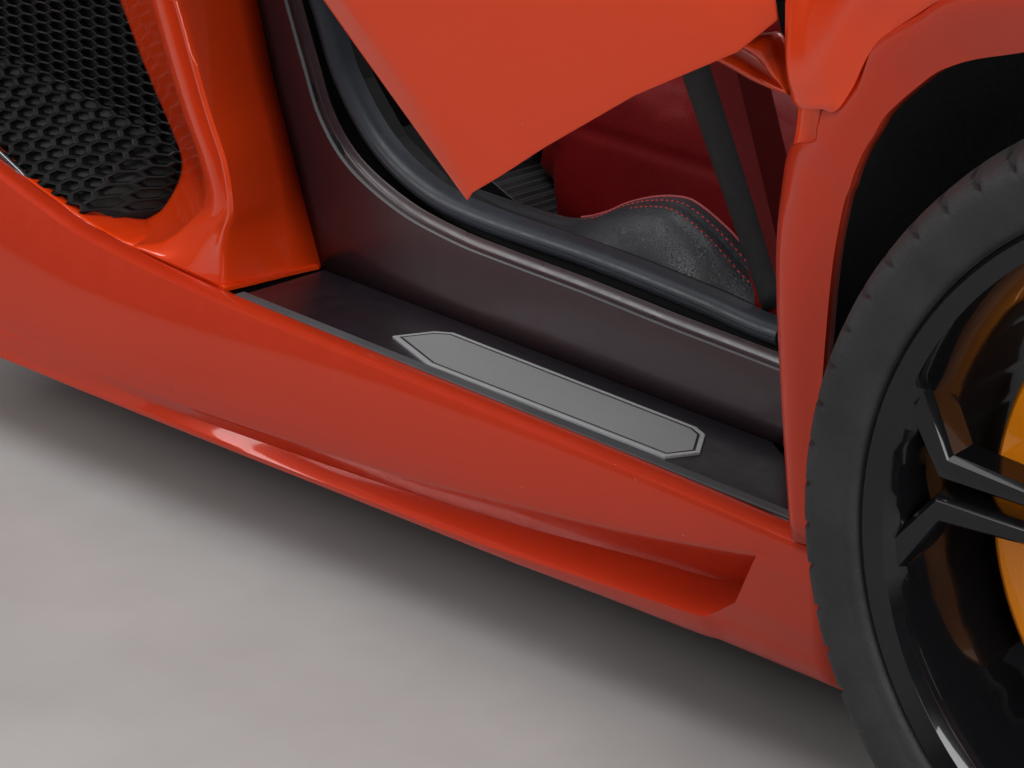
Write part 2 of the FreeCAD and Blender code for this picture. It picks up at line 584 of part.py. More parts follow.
mesh_table = [
    {"bottom": (-1244.0, 226.8), "middle": (-1282.0, 410.0), "top": (-1376.0, 634.0)},
    {"bottom": (-1300.0, 231.6), "middle": (-1340.0, 410.0), "top": (-1420.0, 640.0)},
    {"bottom": (-1430.0, 257.0), "middle": (-1470.0, 420.0), "top": (-1500.0, 648.0)},
    {"bottom": (-1690.0, 315.5), "middle": (-1690.0, 470.0), "top": (-1690.0, 664.0)},
]
mesh_out = []
for level in ("bottom", "middle", "top"):
    mesh_out.append([V(row[level][0], along_mesh(row[level][0], 0.0), row[level][1]) for row in mesh_table])
mesh_in = [[p + V(0, 12, 0) for p in row] for row in mesh_out]
mesh = largest(sheet_solid(mesh_out, mesh_in).cut(duct))
save("intake_mesh", mesh)
fin_rings = []
for x, z0, z1 in ((-1372.0, 244.0, 252.0), (-1450.0, 262.0, 290.0), (-1640.0, 308.0, 345.0)):
    fin_rings.append([V(x, -904.0, z0), V(x, -896.0, z0), V(x, -896.0, z1), V(x, -904.0, z1)])
save("intake_fin", largest(ring_solid(fin_rings).cut(duct)))

# Knuckle, built straight ahead about the kingpin and then steered
STEER = {"centre": V(KING_X, KING_Y, 0.0), "axis": V(0, 0, 1)}
wheel_y = KING_Y - WHEEL_OFFSET


def steered(shape):
    turned = shape.copy()
    turned.rotate(STEER["centre"], STEER["axis"], REST_STEER)
    return turned


def spun(profile, name_axis_y):
    # Profile of (radius, outboard) pairs turned about the wheel's axle.
    points = [V(KING_X, name_axis_y - out, HUB_Z + radius) for radius, out in profile]
    face = Part.Face(Part.makePolygon(points + [points[0]]))
    return face.revolve(V(KING_X, name_axis_y, HUB_Z), V(0, 1, 0), 360)


carrier = Part.makeCylinder(56.0, 52.0, V(KING_X, KING_Y - 26.0, HUB_Z), V(0, 1, 0))
arm_y = KING_Y + 4.0
upright = fused([
    carrier,
    block(KING_X - 22.0, KING_X + 22.0, KING_Y - 15.0, KING_Y + 15.0, BALL_LOW - 18.0, BALL_HIGH + 18.0),
    rod(V(KING_X, KING_Y, BALL_LOW - 18.0), V(KING_X, KING_Y, BALL_LOW + 18.0), 21.0),
    rod(V(KING_X, KING_Y, BALL_HIGH - 18.0), V(KING_X, KING_Y, BALL_HIGH + 18.0), 21.0),
    block(KING_X - ARM_BACK - 8.0, KING_X, arm_y - 10.0, arm_y + 10.0, rack_z - 12.0, rack_z + 12.0),
    rod(V(KING_X - ARM_BACK, arm_y, rack_z - 12.0), V(KING_X - ARM_BACK, arm_y, rack_z + 12.0), 17.0),
    block(KING_X - 180.0, KING_X - 20.0, KING_Y + 2.0, KING_Y + 15.0, HUB_Z - 84.0, HUB_Z - 56.0),
    block(KING_X - 180.0, KING_X - 20.0, KING_Y + 2.0, KING_Y + 15.0, HUB_Z + 56.0, HUB_Z + 84.0),
])
upright = upright.cut(Part.makeCylinder(SPINDLE_R + RUNNING_GAP, 60.0, V(KING_X, KING_Y - 30.0, HUB_Z), V(0, 1, 0)))
for low in (BALL_LOW - 19.0, BALL_HIGH - 19.0):
    upright = upright.cut(Part.makeCylinder(BALL_PIN_R + RUNNING_GAP, 38.0, V(KING_X, KING_Y, low)))
upright = upright.cut(Part.makeCylinder(6.0 + RUNNING_GAP, 30.0, V(KING_X - ARM_BACK, arm_y, rack_z - 15.0)))
save("knuckle", steered(upright))

# Brake caliper, astride the disc behind the axle
caliper_back = KING_Y + 1.7
caliper_length = caliper_back - (wheel_y - 38.0)
caliper = Part.makeCylinder(CALIPER_R, caliper_length, V(KING_X, wheel_y - 38.0, HUB_Z), V(0, 1, 0))
caliper = caliper.cut(Part.makeCylinder(CALIPER_INNER_R, caliper_length, V(KING_X, wheel_y - 38.0, HUB_Z), V(0, 1, 0)))
sector = [(KING_X - 60.0, HUB_Z), (KING_X - 260.0, HUB_Z + 190.0), (KING_X - 260.0, HUB_Z - 190.0)]
caliper = caliper.common(plate_xz(sector, wheel_y - 40.0, wheel_y + 80.0))
caliper = caliper.cut(Part.makeCylinder(DISC_R + 7.0, 46.0, V(KING_X, wheel_y - 11.0, HUB_Z), V(0, 1, 0)))
save("brake_caliper", steered(caliper))

# Track rod, from the knuckle's arm into the rack
turn = FreeCAD.Rotation(V(0, 0, 1), REST_STEER)
ball = STEER["centre"] + turn.multVec(V(KING_X - ARM_BACK, arm_y, rack_z) - STEER["centre"])
track = fused([
    rod(ball + V(0, 0, -12.0), ball + V(0, 0, 34.0), 6.0),
    rod(ball + V(0, 0, 17.0), ball + V(0, 0, 34.0), 13.0),
    rod(ball + V(0, 9.0, 25.0), V(ball.x, ball.y + 110.0, rack_z), 7.0),
    rod(V(ball.x, ball.y + 106.0, rack_z), V(ball.x, -500.0, rack_z), 7.0),
])
save("track_rod", track)

# Hub, brake disc, rim, lock nut and tyre, as profiles of radius and outboard place
hub_profile = [
    (0.0, -88.0), (SPINDLE_R, -88.0), (SPINDLE_R, -32.0), (50.0, -32.0), (50.0, 20.0), (64.0, 20.0),
    (64.0, 34.0), (40.0, 34.0), (40.0, 86.0), (0.0, 86.0),
]
save("hub", steered(spun(hub_profile, wheel_y)))
disc_profile = [
    (40.2, 42.5), (78.0, 42.5), (78.0, 4.0), (DISC_R, 4.0), (DISC_R, -28.0), (110.0, -28.0), (110.0, -4.0),
    (70.0, -4.0), (70.0, 34.3), (40.2, 34.3),
]
save("brake_disc", steered(spun(disc_profile, wheel_y)))
barrel_profile = [
    (RIM_EDGE_R, RIM_EDGE_OUT), (RIM_EDGE_R - 4.0, RIM_EDGE_OUT + 5.0), (RIM_EDGE_R - 17.0, RIM_EDGE_OUT),
    (BARREL_R + 5.0, RIM_EDGE_OUT - 15.0), (BARREL_R - 3.0, 70.0),
    (BARREL_R - 6.0, -40.0), (BARREL_R, 9.0 - RIM_EDGE_OUT), (RIM_EDGE_R - 17.0, -RIM_EDGE_OUT - 5.0),
    (RIM_EDGE_R - 4.0, -RIM_EDGE_OUT - 5.0), (RIM_EDGE_R, 1.0 - RIM_EDGE_OUT),
    (RIM_EDGE_R - 13.0, 5.0 - RIM_EDGE_OUT), (BARREL_R + 11.0, 15.0 - RIM_EDGE_OUT), (BARREL_R + 3.0, -40.0),
    (BARREL_R + 4.0, 66.0), (BARREL_R + 11.0, RIM_EDGE_OUT - 15.0), (RIM_EDGE_R - 13.0, RIM_EDGE_OUT - 5.0),
]
barrel = spun(barrel_profile, wheel_y)
SPOKE_PAIRS = 5
FIRST_PAIR = 29.5
SPOKE_THICK = 30.0
SPOKE_EDGE = 5.0
# One half of a twin spoke, as (along the spoke, to its side)
half_spoke = [(58.0, 6.0), (RIM_EDGE_R - 50.0, 6.0), (RIM_EDGE_R - 7.0, 70.0), (RIM_EDGE_R - 21.0, 94.0),
              (RIM_EDGE_R - 58.0, 26.0), (RIM_EDGE_R - 125.0, 21.0), (58.0, 25.0)]


def spoke_face(outline, angle, back):
    # The outline laid on the spokes' shallow cone, back behind its front.
    turn = math.radians(angle)
    face = []
    for along, aside in outline:
        x = along * math.cos(turn) - aside * math.sin(turn)
        z = along * math.sin(turn) + aside * math.cos(turn)
        face.append(V(KING_X + x, wheel_y - (83.0 + 0.09 * along) + back, HUB_Z + z))
    return face


def spoke(outline, angle):
    closed = outline[-1:] + outline + outline[:1]
    front = inset(closed, SPOKE_EDGE * 0.7)[1:-1]
    return ring_solid([
        spoke_face(front, angle, 0.0),
        spoke_face(outline, angle, SPOKE_EDGE),
        spoke_face(outline, angle, SPOKE_THICK),
    ])


inside_rim = spun([(0.0, 40.0), (BARREL_R, 40.0), (BARREL_R, 66.0), (BARREL_R + 7.0, RIM_EDGE_OUT - 15.0),
                   (BARREL_R + 15.0, RIM_EDGE_OUT - 5.0), (RIM_EDGE_R - 9.0, RIM_EDGE_OUT + 3.0), (0.0, RIM_EDGE_OUT + 3.0)],
                  wheel_y)
rim_pieces = [barrel, Part.makeCylinder(78.0, 57.2, V(KING_X, wheel_y - 100.0, HUB_Z), V(0, 1, 0))]
other_half = [(along, -aside) for along, aside in reversed(half_spoke)]
for k in range(SPOKE_PAIRS):
    angle = FIRST_PAIR + k * 360.0 / SPOKE_PAIRS
    for outline in (half_spoke, other_half):
        rim_pieces.append(spoke(outline, angle).common(inside_rim))
rim = fused(rim_pieces)
rim = rim.cut(Part.makeCylinder(40.3, 100.0, V(KING_X, wheel_y - 120.0, HUB_Z), V(0, 1, 0)))
save("rim", steered(rim))
save("lock_nut", steered(Part.makeCylinder(36.0, 26.0, V(KING_X, wheel_y - 112.2, HUB_Z), V(0, 1, 0))))
tyre_outside = [
    (RIM_EDGE_R - 12.5, RIM_EDGE_OUT - 4.5), (RIM_EDGE_R + 0.5, RIM_EDGE_OUT), (RIM_EDGE_R + 15.0, RIM_EDGE_OUT + 9.0),
    (SHOULDER_R, SHOULDER_OUT), (TYRE_R - 8.0, SHOULDER_OUT - 11.0), (TYRE_R, SHOULDER_OUT - 38.0),
]
tyre_inside = [
    (TYRE_R - 12.0, 0.0), (TYRE_R - 14.0, SHOULDER_OUT - 44.0), (SHOULDER_R - 1.0, SHOULDER_OUT - 20.0),
    (RIM_EDGE_R + 7.0, RIM_EDGE_OUT - 9.0), (RIM_EDGE_R - 9.0, RIM_EDGE_OUT - 21.0), (BARREL_R + 11.5, RIM_EDGE_OUT - 15.0),
]
tyre_profile = tyre_outside + [(TYRE_R + 1.0, 0.0)] + [(radius, -out) for radius, out in reversed(tyre_outside)]
tyre_profile += [(radius, -out) for radius, out in reversed(tyre_inside[1:])] + tyre_inside
save("tyre", steered(spun(tyre_profile, wheel_y).cut(barrel)))

# Door, drawn shut and then swung to its open rest
door_turn = HINGE_AXIS


def opened(shape):
    swung = shape.copy()
    swung.rotate(HINGE, door_turn, DOOR_OPEN)
    return swung


door_rows = [
    {"z": 233.5, "front": -412.0, "rear": -1096.0, "front_y": -924.0, "rear_y": -909.0, "bulge": 4.0},
    {"z": 258.0, "front": -417.0, "rear": -1094.0, "front_y": -926.0, "rear_y": -910.0, "bulge": 12.0},
    {"z": 340.0, "front": -425.0, "rear": -1098.0, "front_y": -924.0, "rear_y": -909.0, "bulge": 14.0},
    {"z": 450.0, "front": -432.0, "rear": -1140.0, "front_y": -923.0, "rear_y": -906.0, "bulge": 12.0},
    {"z": 560.0, "front": -429.0, "rear": -1182.0, "front_y": -922.0, "rear_y": -899.0, "bulge": 8.0},
    {"z": 606.0, "front": -437.0, "rear": -1200.0, "front_y": -918.0, "rear_y": -889.0, "bulge": 6.0},
    {"z": 690.0, "front": -612.0, "rear": -1236.0, "front_y": -892.0, "rear_y": -862.0, "bulge": 4.0},
    {"z": 786.0, "front": -815.0, "rear": -1288.0, "front_y": -848.0, "rear_y": -824.0, "bulge": 2.0},
]


def door_grid(inset_y, trim_front, trim_rear, low, high):
    grid = []
    for row in door_rows:
        z = min(max(row["z"], low), high)
        line = []
        for k in range(5):
            t = k / 4.0
            x = (row["front"] - trim_front) * (1.0 - t) + (row["rear"] + trim_rear) * t
            y = row["front_y"] * (1.0 - t) + row["rear_y"] * t - row["bulge"] * 4.0 * t * (1.0 - t)
            line.append(V(x, y + inset_y, z))
        grid.append(line)
    return grid


door_skin = sheet_solid(door_grid(0.0, 0.0, 0.0, 0.0, 2000.0), door_grid(4.0, 0.0, 0.0, 0.0, 2000.0))
save("door_skin", opened(door_skin))
card_back = {233.5: -818.0, 258.0: -817.0, 340.0: -817.0, 450.0: -815.0, 560.0: -806.0, 606.0: -800.0, 690.0: -776.0, 786.0: -738.0}
front_back = {233.5: -900.0, 258.0: -900.0, 340.0: -900.0, 450.0: -899.0, 560.0: -850.0, 606.0: -840.0, 690.0: -776.0, 786.0: -738.0}


def door_box(near, trim, far, low, high):
    # The door's body behind its skin, thinner at its two upright edges.
    front = door_grid(near, trim, trim, low, high)
    rear = []
    for row, line in zip(door_rows, front):
        deep = card_back[row["z"]] - far
        edge = min(front_back[row["z"]] - far, deep)
        back_edge = min(-893.0 - far, deep) if row["z"] < 500.0 else deep
        depths = [edge, deep, deep, deep, back_edge]
        rear.append([V(p.x, max(d, p.y + 1.5), p.z) for p, d in zip(line, depths)])
    return sheet_solid(front, rear)


door_core = largest(door_box(4.2, 14.0, 0.0, 240.0, 780.0).cut(door_skin))
door_frame = largest(door_core.cut(door_box(16.0, 60.0, 10.0, 256.0, 762.0)))
save("door_frame", opened(door_frame))
card = []
card_in = []
for row, line in zip(door_rows[2:], door_grid(4.2, 14.0, 14.0, 236.0, 780.0)[2:]):
    y = card_back[row["z"]]
    front = line[0].x - 175.0
    rear = line[-1].x + 160.0
    spots = [front * (1.0 - k / 4.0) + rear * k / 4.0 for k in range(5)]
    card.append([V(x, y + 0.3, line[0].z) for x in spots])
    card_in.append([V(x, y + 7.3, line[0].z) for x in spots])
save("door_card", opened(sheet_solid(card, card_in)))
glass = [
    [V(-624.0, -862.0, 690.0), V(-832.0, -824.0, 781.0), V(-1282.0, -788.0, 781.0)],
    [V(-770.0, -756.0, 868.0), V(-930.0, -742.0, 905.0), V(-1312.0, -716.0, 905.0)],
    [V(-960.0, -640.0, 1040.0), V(-1060.0, -634.0, 1050.0), V(-1345.0, -632.0, 1040.0)],
]
glass_in = [[p + V(0, 5, 0) for p in row] for row in glass]
door_glass = sheet_solid(glass, glass_in).cut(door_core).cut(door_skin)
save("door_glass", opened(door_glass))
arm_side = [(-436.5, 500.0), (-402.0, 505.0), (-396.0, 580.0), (-398.0, 640.0), (-444.0, 646.0), (-462.0, 600.0)]
arm = plate_xz(arm_side, -898.0, -856.0)
axis = V(HINGE_AXIS)
axis.normalize()
arm = arm.fuse(rod(HINGE - axis * 28.0, HINGE + axis * 16.0, 24.0))
arm = arm.cut(rod(HINGE - axis * 80.0, HINGE + axis * 80.0, HINGE_PIN_R + RUNNING_GAP))
arm = arm.cut(door_core)
save("hinge_arm", opened(arm))
bracket = fused([
    rod(HINGE - axis * 30.0, HINGE + axis * 60.0, HINGE_PIN_R),
    rod(HINGE + axis * 22.0, HINGE + axis * 60.0, 24.0),
    block(-430.0, -404.5, -826.0, -745.5, 600.0, 660.0),
])
save("hinge_bracket", bracket.fuse(block(-430.0, -404.5, -800.0, -745.5, 455.3, 600.0)).removeSplitter())
mirror_arm = plate_xz([(-806.0, 768.0), (-734.0, 734.0), (-700.0, 858.0), (-742.0, 858.0)], -965.0, -838.0)
mirror_arm = mirror_arm.cut(door_core).cut(door_skin).cut(door_glass)
shell_table = [{"y": -1040.0, "grow": 0.7}, {"y": -1000.0, "grow": 1.0}, {"y": -900.0, "grow": 0.9}, {"y": -872.0, "grow": 0.6}]
shell_rings = []
for row in shell_table:
    grow = row["grow"]
    shell_rings.append([
        V(-760.0, row["y"], 862.0 - 8.0 * grow),
        V(-660.0, row["y"], 866.0 - 6.0 * grow),
        V(-672.0, row["y"], 880.0 + 48.0 * grow),
        V(-760.0, row["y"], 880.0 + 66.0 * grow),
    ])
mirror_shell = ring_solid(shell_rings)
mirror = mirror_shell.fuse(mirror_arm)
mirror_solids = sorted(mirror.Solids, key=lambda solid: solid.Volume)
save("door_mirror", opened(mirror_solids[-1]))
mirror_face = block(-764.0, -760.0, -1028.0, -884.0, 866.0, 930.0)
save("mirror_glass", opened(mirror_face))
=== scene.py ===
import json
import math

import bmesh
import bpy
from mathutils import Matrix, Vector


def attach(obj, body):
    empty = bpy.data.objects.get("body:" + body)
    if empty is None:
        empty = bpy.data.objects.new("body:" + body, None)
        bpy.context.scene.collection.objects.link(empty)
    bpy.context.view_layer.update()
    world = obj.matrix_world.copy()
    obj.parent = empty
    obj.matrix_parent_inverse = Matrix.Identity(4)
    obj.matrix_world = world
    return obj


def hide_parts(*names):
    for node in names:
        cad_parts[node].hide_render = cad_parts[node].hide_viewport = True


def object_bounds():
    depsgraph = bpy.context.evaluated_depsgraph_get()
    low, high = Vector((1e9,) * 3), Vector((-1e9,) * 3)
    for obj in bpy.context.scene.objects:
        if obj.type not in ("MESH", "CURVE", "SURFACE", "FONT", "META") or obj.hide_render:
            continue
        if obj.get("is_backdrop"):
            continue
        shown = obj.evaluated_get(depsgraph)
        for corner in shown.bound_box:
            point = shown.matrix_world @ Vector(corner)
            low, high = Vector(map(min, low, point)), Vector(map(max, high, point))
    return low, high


SCENE = bpy.context.scene
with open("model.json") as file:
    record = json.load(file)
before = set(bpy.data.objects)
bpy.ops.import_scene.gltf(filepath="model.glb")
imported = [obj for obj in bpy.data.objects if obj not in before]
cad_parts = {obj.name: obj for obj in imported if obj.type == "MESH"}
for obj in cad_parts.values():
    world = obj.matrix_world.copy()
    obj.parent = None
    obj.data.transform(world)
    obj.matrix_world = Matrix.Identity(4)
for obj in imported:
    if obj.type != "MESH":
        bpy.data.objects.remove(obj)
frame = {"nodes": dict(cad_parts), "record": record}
nodes = frame["nodes"]
cad_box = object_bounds()

# The car's own frame is in millimetres, and the row frame in metres, with the mount at its origin
MOUNT = Vector((-980, -138, 280))
MM = 1000.0
ROAD_Z = -0.280
BODY = {name: body for body, names in frame["record"]["behaviour"]["bodies"].items() for name in names}


def at(x, y, z):
    return (Vector((x, y, z)) - MOUNT) / MM


def in_car(p):
    return p * MM + MOUNT


# Materials
def material(name, **settings):
    # A new material whose shader has the settings given, such as Coat_Weight.
    mat = bpy.data.materials.new(name)
    mat.use_nodes = True
    for key, value in settings.items():
        mat.node_tree.nodes["Principled BSDF"].inputs[key.replace("_", " ")].default_value = value
    return mat, mat.node_tree


def feed(tree, output, socket):
    tree.links.new(output, tree.nodes["Principled BSDF"].inputs[socket])


def node(tree, kind, **values):
    made = tree.nodes.new(kind)
    for key, value in values.items():
        if key in made.inputs:
            made.inputs[key].default_value = value
        else:
            setattr(made, key, value)
    return made


def texture(tree, kind, stretch=None, **values):
    # A texture in the object's own coordinates.
    vector = node(tree, "ShaderNodeTexCoord").outputs["Object"]
    if stretch:
        mapping = node(tree, "ShaderNodeMapping", Scale=stretch)
        tree.links.new(vector, mapping.inputs["Vector"])
        vector = mapping.outputs["Vector"]
    made = node(tree, kind, **values)
    tree.links.new(vector, made.inputs["Vector"])
    return made


def noise(tree, scale, detail=3, roughness=0.5, stretch=None):
    made = texture(tree, "ShaderNodeTexNoise", stretch, Scale=scale, Detail=detail, Roughness=roughness)
    return made.outputs["Fac"]


def cells(tree, scale, feature="F1"):
    return texture(tree, "ShaderNodeTexVoronoi", feature=feature, Scale=scale).outputs["Distance"]


def ramp(tree, fac, *stops):
    # Each stop is a place and a colour, or a place and a grey.
    made = node(tree, "ShaderNodeValToRGB")
    band = made.color_ramp
    while len(band.elements) < len(stops):
        band.elements.new(0.5)
    for element, (place, colour) in zip(band.elements, stops):
        element.position = place
        element.color = (*colour, 1) if isinstance(colour, tuple) else (colour, colour, colour, 1)
    tree.links.new(fac, made.inputs["Fac"])
    return made.outputs["Color"]


def vary(tree, socket, fac, low, high, start=0.3, end=0.7):
    feed(tree, ramp(tree, fac, (start, low), (end, high)), socket)


def bump(tree, height, strength, distance, under=None):
    made = node(tree, "ShaderNodeBump", Strength=strength, Distance=distance)
    tree.links.new(height, made.inputs["Height"])
    if under is not None:
        tree.links.new(under, made.inputs["Normal"])
    feed(tree, made.outputs["Normal"], "Normal")
    return made.outputs["Normal"]


def fill(tree, sockets, values):
    for socket, value in zip(sockets, values):
        if isinstance(value, tuple):
            socket.default_value = (*value, 1)
        elif isinstance(value, (int, float)):
            socket.default_value = value
        else:
            tree.links.new(value, socket)


def mixed(tree, fac, one, two):
    made = node(tree, "ShaderNodeMix", data_type="RGBA")
    fill(tree, (made.inputs["Factor"], made.inputs[6], made.inputs[7]), (fac, one, two))
    return made.outputs[2]


def maths(tree, operation, *values):
    made = node(tree, "ShaderNodeMath", operation=operation)
    fill(tree, made.inputs, values)
    return made.outputs[0]


def plain(name, dark, light, rough, scale, grain, size, metallic=0, coat=0, coat_rough=0.1,
          rough_var=0.08, big=6, spec=0.5):
    # A finish whose colour, roughness and fine bump vary with noise.
    mat, tree = material(name, Metallic=metallic, Coat_Weight=coat, Coat_Roughness=coat_rough,
                         Specular_IOR_Level=spec)
    vary(tree, "Base Color", noise(tree, big, 4, 0.6), dark, light)
    low = max(rough - rough_var, 0.02)
    vary(tree, "Roughness", noise(tree, scale * 0.2), low, rough + rough_var, 0.25, 0.75)
    bump(tree, noise(tree, scale, 4, 0.6), grain, size)
    return mat


def paint(name, dark, light, chips=True, coat=0.75, gloss=0.025):
    # Pearl paint under clear coat, with orange peel and small chips.
    mat, tree = material(name, Metallic=0.12, Specular_IOR_Level=0.12, Coat_Weight=coat, Coat_Roughness=gloss)
    pearl = (light[0] * 1.15, light[1] * 1.5, light[2] * 1.5)
    colour = mixed(tree, noise(tree, 2.2, 2), dark, light)
    colour = mixed(tree, ramp(tree, cells(tree, 2600), (0, 0.35), (0.5, 0)), colour, pearl)
    if chips:
        spots = ramp(tree, cells(tree, 95), (0, 1), (0.045, 1), (0.06, 0))
        places = ramp(tree, noise(tree, 21, 2), (0.62, 0), (0.66, 1))
        colour = mixed(tree, maths(tree, "MULTIPLY", spots, places), colour, (0.62, 0.3, 0.22))
    feed(tree, colour, "Base Color")
    vary(tree, "Roughness", noise(tree, 60, 4), 0.3, 0.42)
    bump(tree, noise(tree, 260, 2), 0.04, 0.0005)
    return mat


def leather(name, dark, light, rough, sheen=0.12, spec=0.5):
    mat, tree = material(name, Sheen_Weight=sheen, Specular_IOR_Level=spec)
    vary(tree, "Base Color", noise(tree, 9, 4), dark, light)
    vary(tree, "Roughness", noise(tree, 40), rough - 0.08, rough + 0.08)
    folds = bump(tree, noise(tree, 45), 0.12, 0.002)
    pores = ramp(tree, cells(tree, 620, "DISTANCE_TO_EDGE"), (0, 0), (0.12, 1))
    bump(tree, pores, 0.35, 0.0005, folds)
    return mat


def brushed(name, tone, rough, along=(1, 60, 60), metallic=1):
    mat, tree = material(name, Metallic=metallic)
    lines = noise(tree, 22, 6, 0.7, along)
    vary(tree, "Base Color", lines, tuple(c * 0.82 for c in tone), tone)
    vary(tree, "Roughness", lines, rough - 0.08, rough + 0.1)
    bump(tree, lines, 0.08, 0.0004)
    return mat


def cloth(name, dark, light):
    mat, tree = material(name, Sheen_Weight=0.3)
    feed(tree, mixed(tree, noise(tree, 60, 4), dark, light), "Base Color")
    vary(tree, "Roughness", noise(tree, 200), 0.85, 1)
    weave = texture(tree, "ShaderNodeTexWave", Scale=108, Distortion=1.5, Detail=2)
    bump(tree, weave.outputs["Fac"], 0.5, 0.001)
    return mat


def carbon(name, dark, light):
    # Woven sheet under satin lacquer, as two crossed sets of bands.
    mat, tree = material(name, Coat_Weight=0.35, Coat_Roughness=0.18)
    place = node(tree, "ShaderNodeSeparateXYZ")
    tree.links.new(node(tree, "ShaderNodeTexCoord").outputs["Object"], place.inputs[0])
    bands = []
    for way in ("ADD", "SUBTRACT"):
        slant = maths(tree, way, place.outputs["X"], place.outputs["Z"])
        bands.append(maths(tree, "SINE", maths(tree, "MULTIPLY", slant, 900)))
    weave = maths(tree, "MULTIPLY", *bands)
    vary(tree, "Base Color", weave, dark, light, 0, 0.5)
    vary(tree, "Roughness", noise(tree, 18), 0.28, 0.42)
    bump(tree, weave, 0.05, 0.0003)
    return mat


def clear(name, tint):
    mat, tree = material(name, Alpha=0.35, Coat_Weight=1)
    vary(tree, "Base Color", noise(tree, 3), tint, tuple(c * 0.9 for c in tint), 0.2, 0.8)
    vary(tree, "Roughness", noise(tree, 30), 0.02, 0.05, 0.3, 0.8)
    return mat


# Looks. Plain ones: name, dark and light colour, roughness, and the bump's scale, strength and depth
MAT = {
    "paint": paint("body_paint", (0.74, 0.04, 0.003), (0.88, 0.066, 0.005)),
    # A rougher copy of the body paint, made darker: the darkness is painted shade on the skirt and on the
    # wing's flare and blade
    "matte_shaded": paint("matte_paint_painted_shade", (0.5, 0.028, 0.007), (0.6, 0.042, 0.01), coat=0.55, gloss=0.07),
    "paint_inner": paint("inner_paint", (0.76, 0.042, 0.003), (0.9, 0.07, 0.005), chips=False),
    "satin_black": plain("satin_black", (0.008, 0.007, 0.01), (0.017, 0.013, 0.018), 0.36, 420, 0.12,
                         0.0004, coat=0.25, coat_rough=0.2),
    # Near-black, darker than any real finish: painted shade for sheets put where there is only darkness
    "painted_shade": plain("painted_shade_black", (0.0015, 0.0015, 0.0018), (0.003, 0.003, 0.0035), 0.7, 420, 0.1, 0.0004),
    "tub": plain("tub_satin", (0.034, 0.015, 0.019), (0.05, 0.021, 0.026), 0.34, 300, 0.06, 0.0004,
                 coat=0.3, coat_rough=0.25),
    "lip": plain("lip_satin", (0.16, 0.165, 0.17), (0.23, 0.235, 0.24), 0.36, 300, 0.08, 0.0004),
    "black_plastic": plain("moulded_black", (0.007, 0.007, 0.008), (0.014, 0.014, 0.015), 0.6, 700, 0.35,
                           0.0005),
    "gloss_black": plain("gloss_black", (0.003, 0.003, 0.0035), (0.006, 0.006, 0.007), 0.17, 180, 0.03,
                         0.0004, coat=0.6, coat_rough=0.03, spec=0.12),
    "rubber": plain("seal_rubber", (0.026, 0.031, 0.04), (0.042, 0.05, 0.062), 0.42, 520, 0.2, 0.0005),
    "strip": plain("strip_rubber", (0.06, 0.062, 0.066), (0.1, 0.1, 0.105), 0.6, 520, 0.3, 0.0005),
    "tyre": plain("tyre_rubber", (0.01, 0.01, 0.011), (0.023, 0.023, 0.025), 0.66, 380, 0.55, 0.001,
                  big=16),
    "plate": brushed("brushed_plate", (0.42, 0.43, 0.44), 0.4, metallic=0.3),
    "plate_edge": brushed("plate_edge", (0.6, 0.61, 0.62), 0.32, metallic=0.3),
    "inlay": plain("inlay_dark", (0.02, 0.02, 0.021), (0.03, 0.03, 0.032), 0.5, 300, 0.1, 0.0003),
    "alloy": plain("cast_alloy", (0.3, 0.3, 0.31), (0.42, 0.42, 0.43), 0.42, 420, 0.3, 0.0007,
                   metallic=0.9),
    "steel": brushed("machined_steel", (0.42, 0.42, 0.43), 0.3, (40, 40, 1)),
    "disc": plain("disc_ceramic", (0.05, 0.05, 0.052), (0.15, 0.15, 0.155), 0.38, 500, 0.35, 0.0006,
                  metallic=0.5, big=120),
    "caliper": paint("caliper_paint", (0.92, 0.24, 0.006), (1, 0.32, 0.01), chips=False),
    "carbon": carbon("woven_carbon", (0.01, 0.01, 0.011), (0.045, 0.045, 0.048)),
    "leather_black": leather("black_leather", (0.012, 0.013, 0.017), (0.024, 0.026, 0.033), 0.34),
    "leather_red": leather("red_leather", (0.17, 0.0024, 0.004), (0.26, 0.004, 0.006), 0.5, 0, 0.22),
    "piping": plain("piping_leather", (0.42, 0.06, 0.06), (0.55, 0.1, 0.09), 0.5, 500, 0.2, 0.0004),
    "stitch": plain("red_thread", (0.72, 0.03, 0.035), (0.9, 0.06, 0.06), 0.75, 3000, 0.5, 0.0003),
    "carpet": cloth("carpet", (0.012, 0.011, 0.011), (0.028, 0.025, 0.024)),
    "glass": clear("window_glass", (0.3, 0.36, 0.34)),
    "mirror": plain("mirror_face", (0.8, 0.8, 0.82), (0.86, 0.86, 0.88), 0.06, 60, 0.005, 0.0002,
                    metallic=1, rough_var=0.02),
    "mesh_black": plain("mesh_black", (0.0022, 0.0022, 0.0026), (0.0045, 0.0045, 0.005), 0.5, 400, 0.2,
                        0.0005, spec=0.2),
    "fin": plain("fin_gloss", (0.02, 0.026, 0.034), (0.034, 0.042, 0.052), 0.24, 180, 0.03, 0.0004,
                 coat=1, coat_rough=0.06),
    "liner": plain("liner_felt", (0.004, 0.004, 0.004), (0.009, 0.009, 0.009), 0.92, 900, 0.6, 0.0012),
}


# Helpers for curves and grids
def mix(a, b, t):
    return a + (b - a) * t


def through(a, b, c, d, t):
    # A value between b and c on a smooth run through all four.
    return (b * 2 + (c - a) * t + (a * 2 - b * 5 + c * 4 - d) * t ** 2
            + (b * 3 - a - c * 3 + d) * t ** 3) * 0.5


def curve(points, steps):
    # A smooth run through the given points.
    points = [Vector(p) for p in points]
    ends = [points[0] * 2 - points[1]] + points + [points[-1] * 2 - points[-2]]
    made = []
    for four in zip(ends, ends[1:], ends[2:], ends[3:]):
        made += [through(*four, k / steps) for k in range(steps)]
    return made + [points[-1]]


def flat_curve(points, steps):
    # The same for pairs of x and z.
    return [(p.x, p.z) for p in curve([(x, 0, z) for x, z in points], steps)]


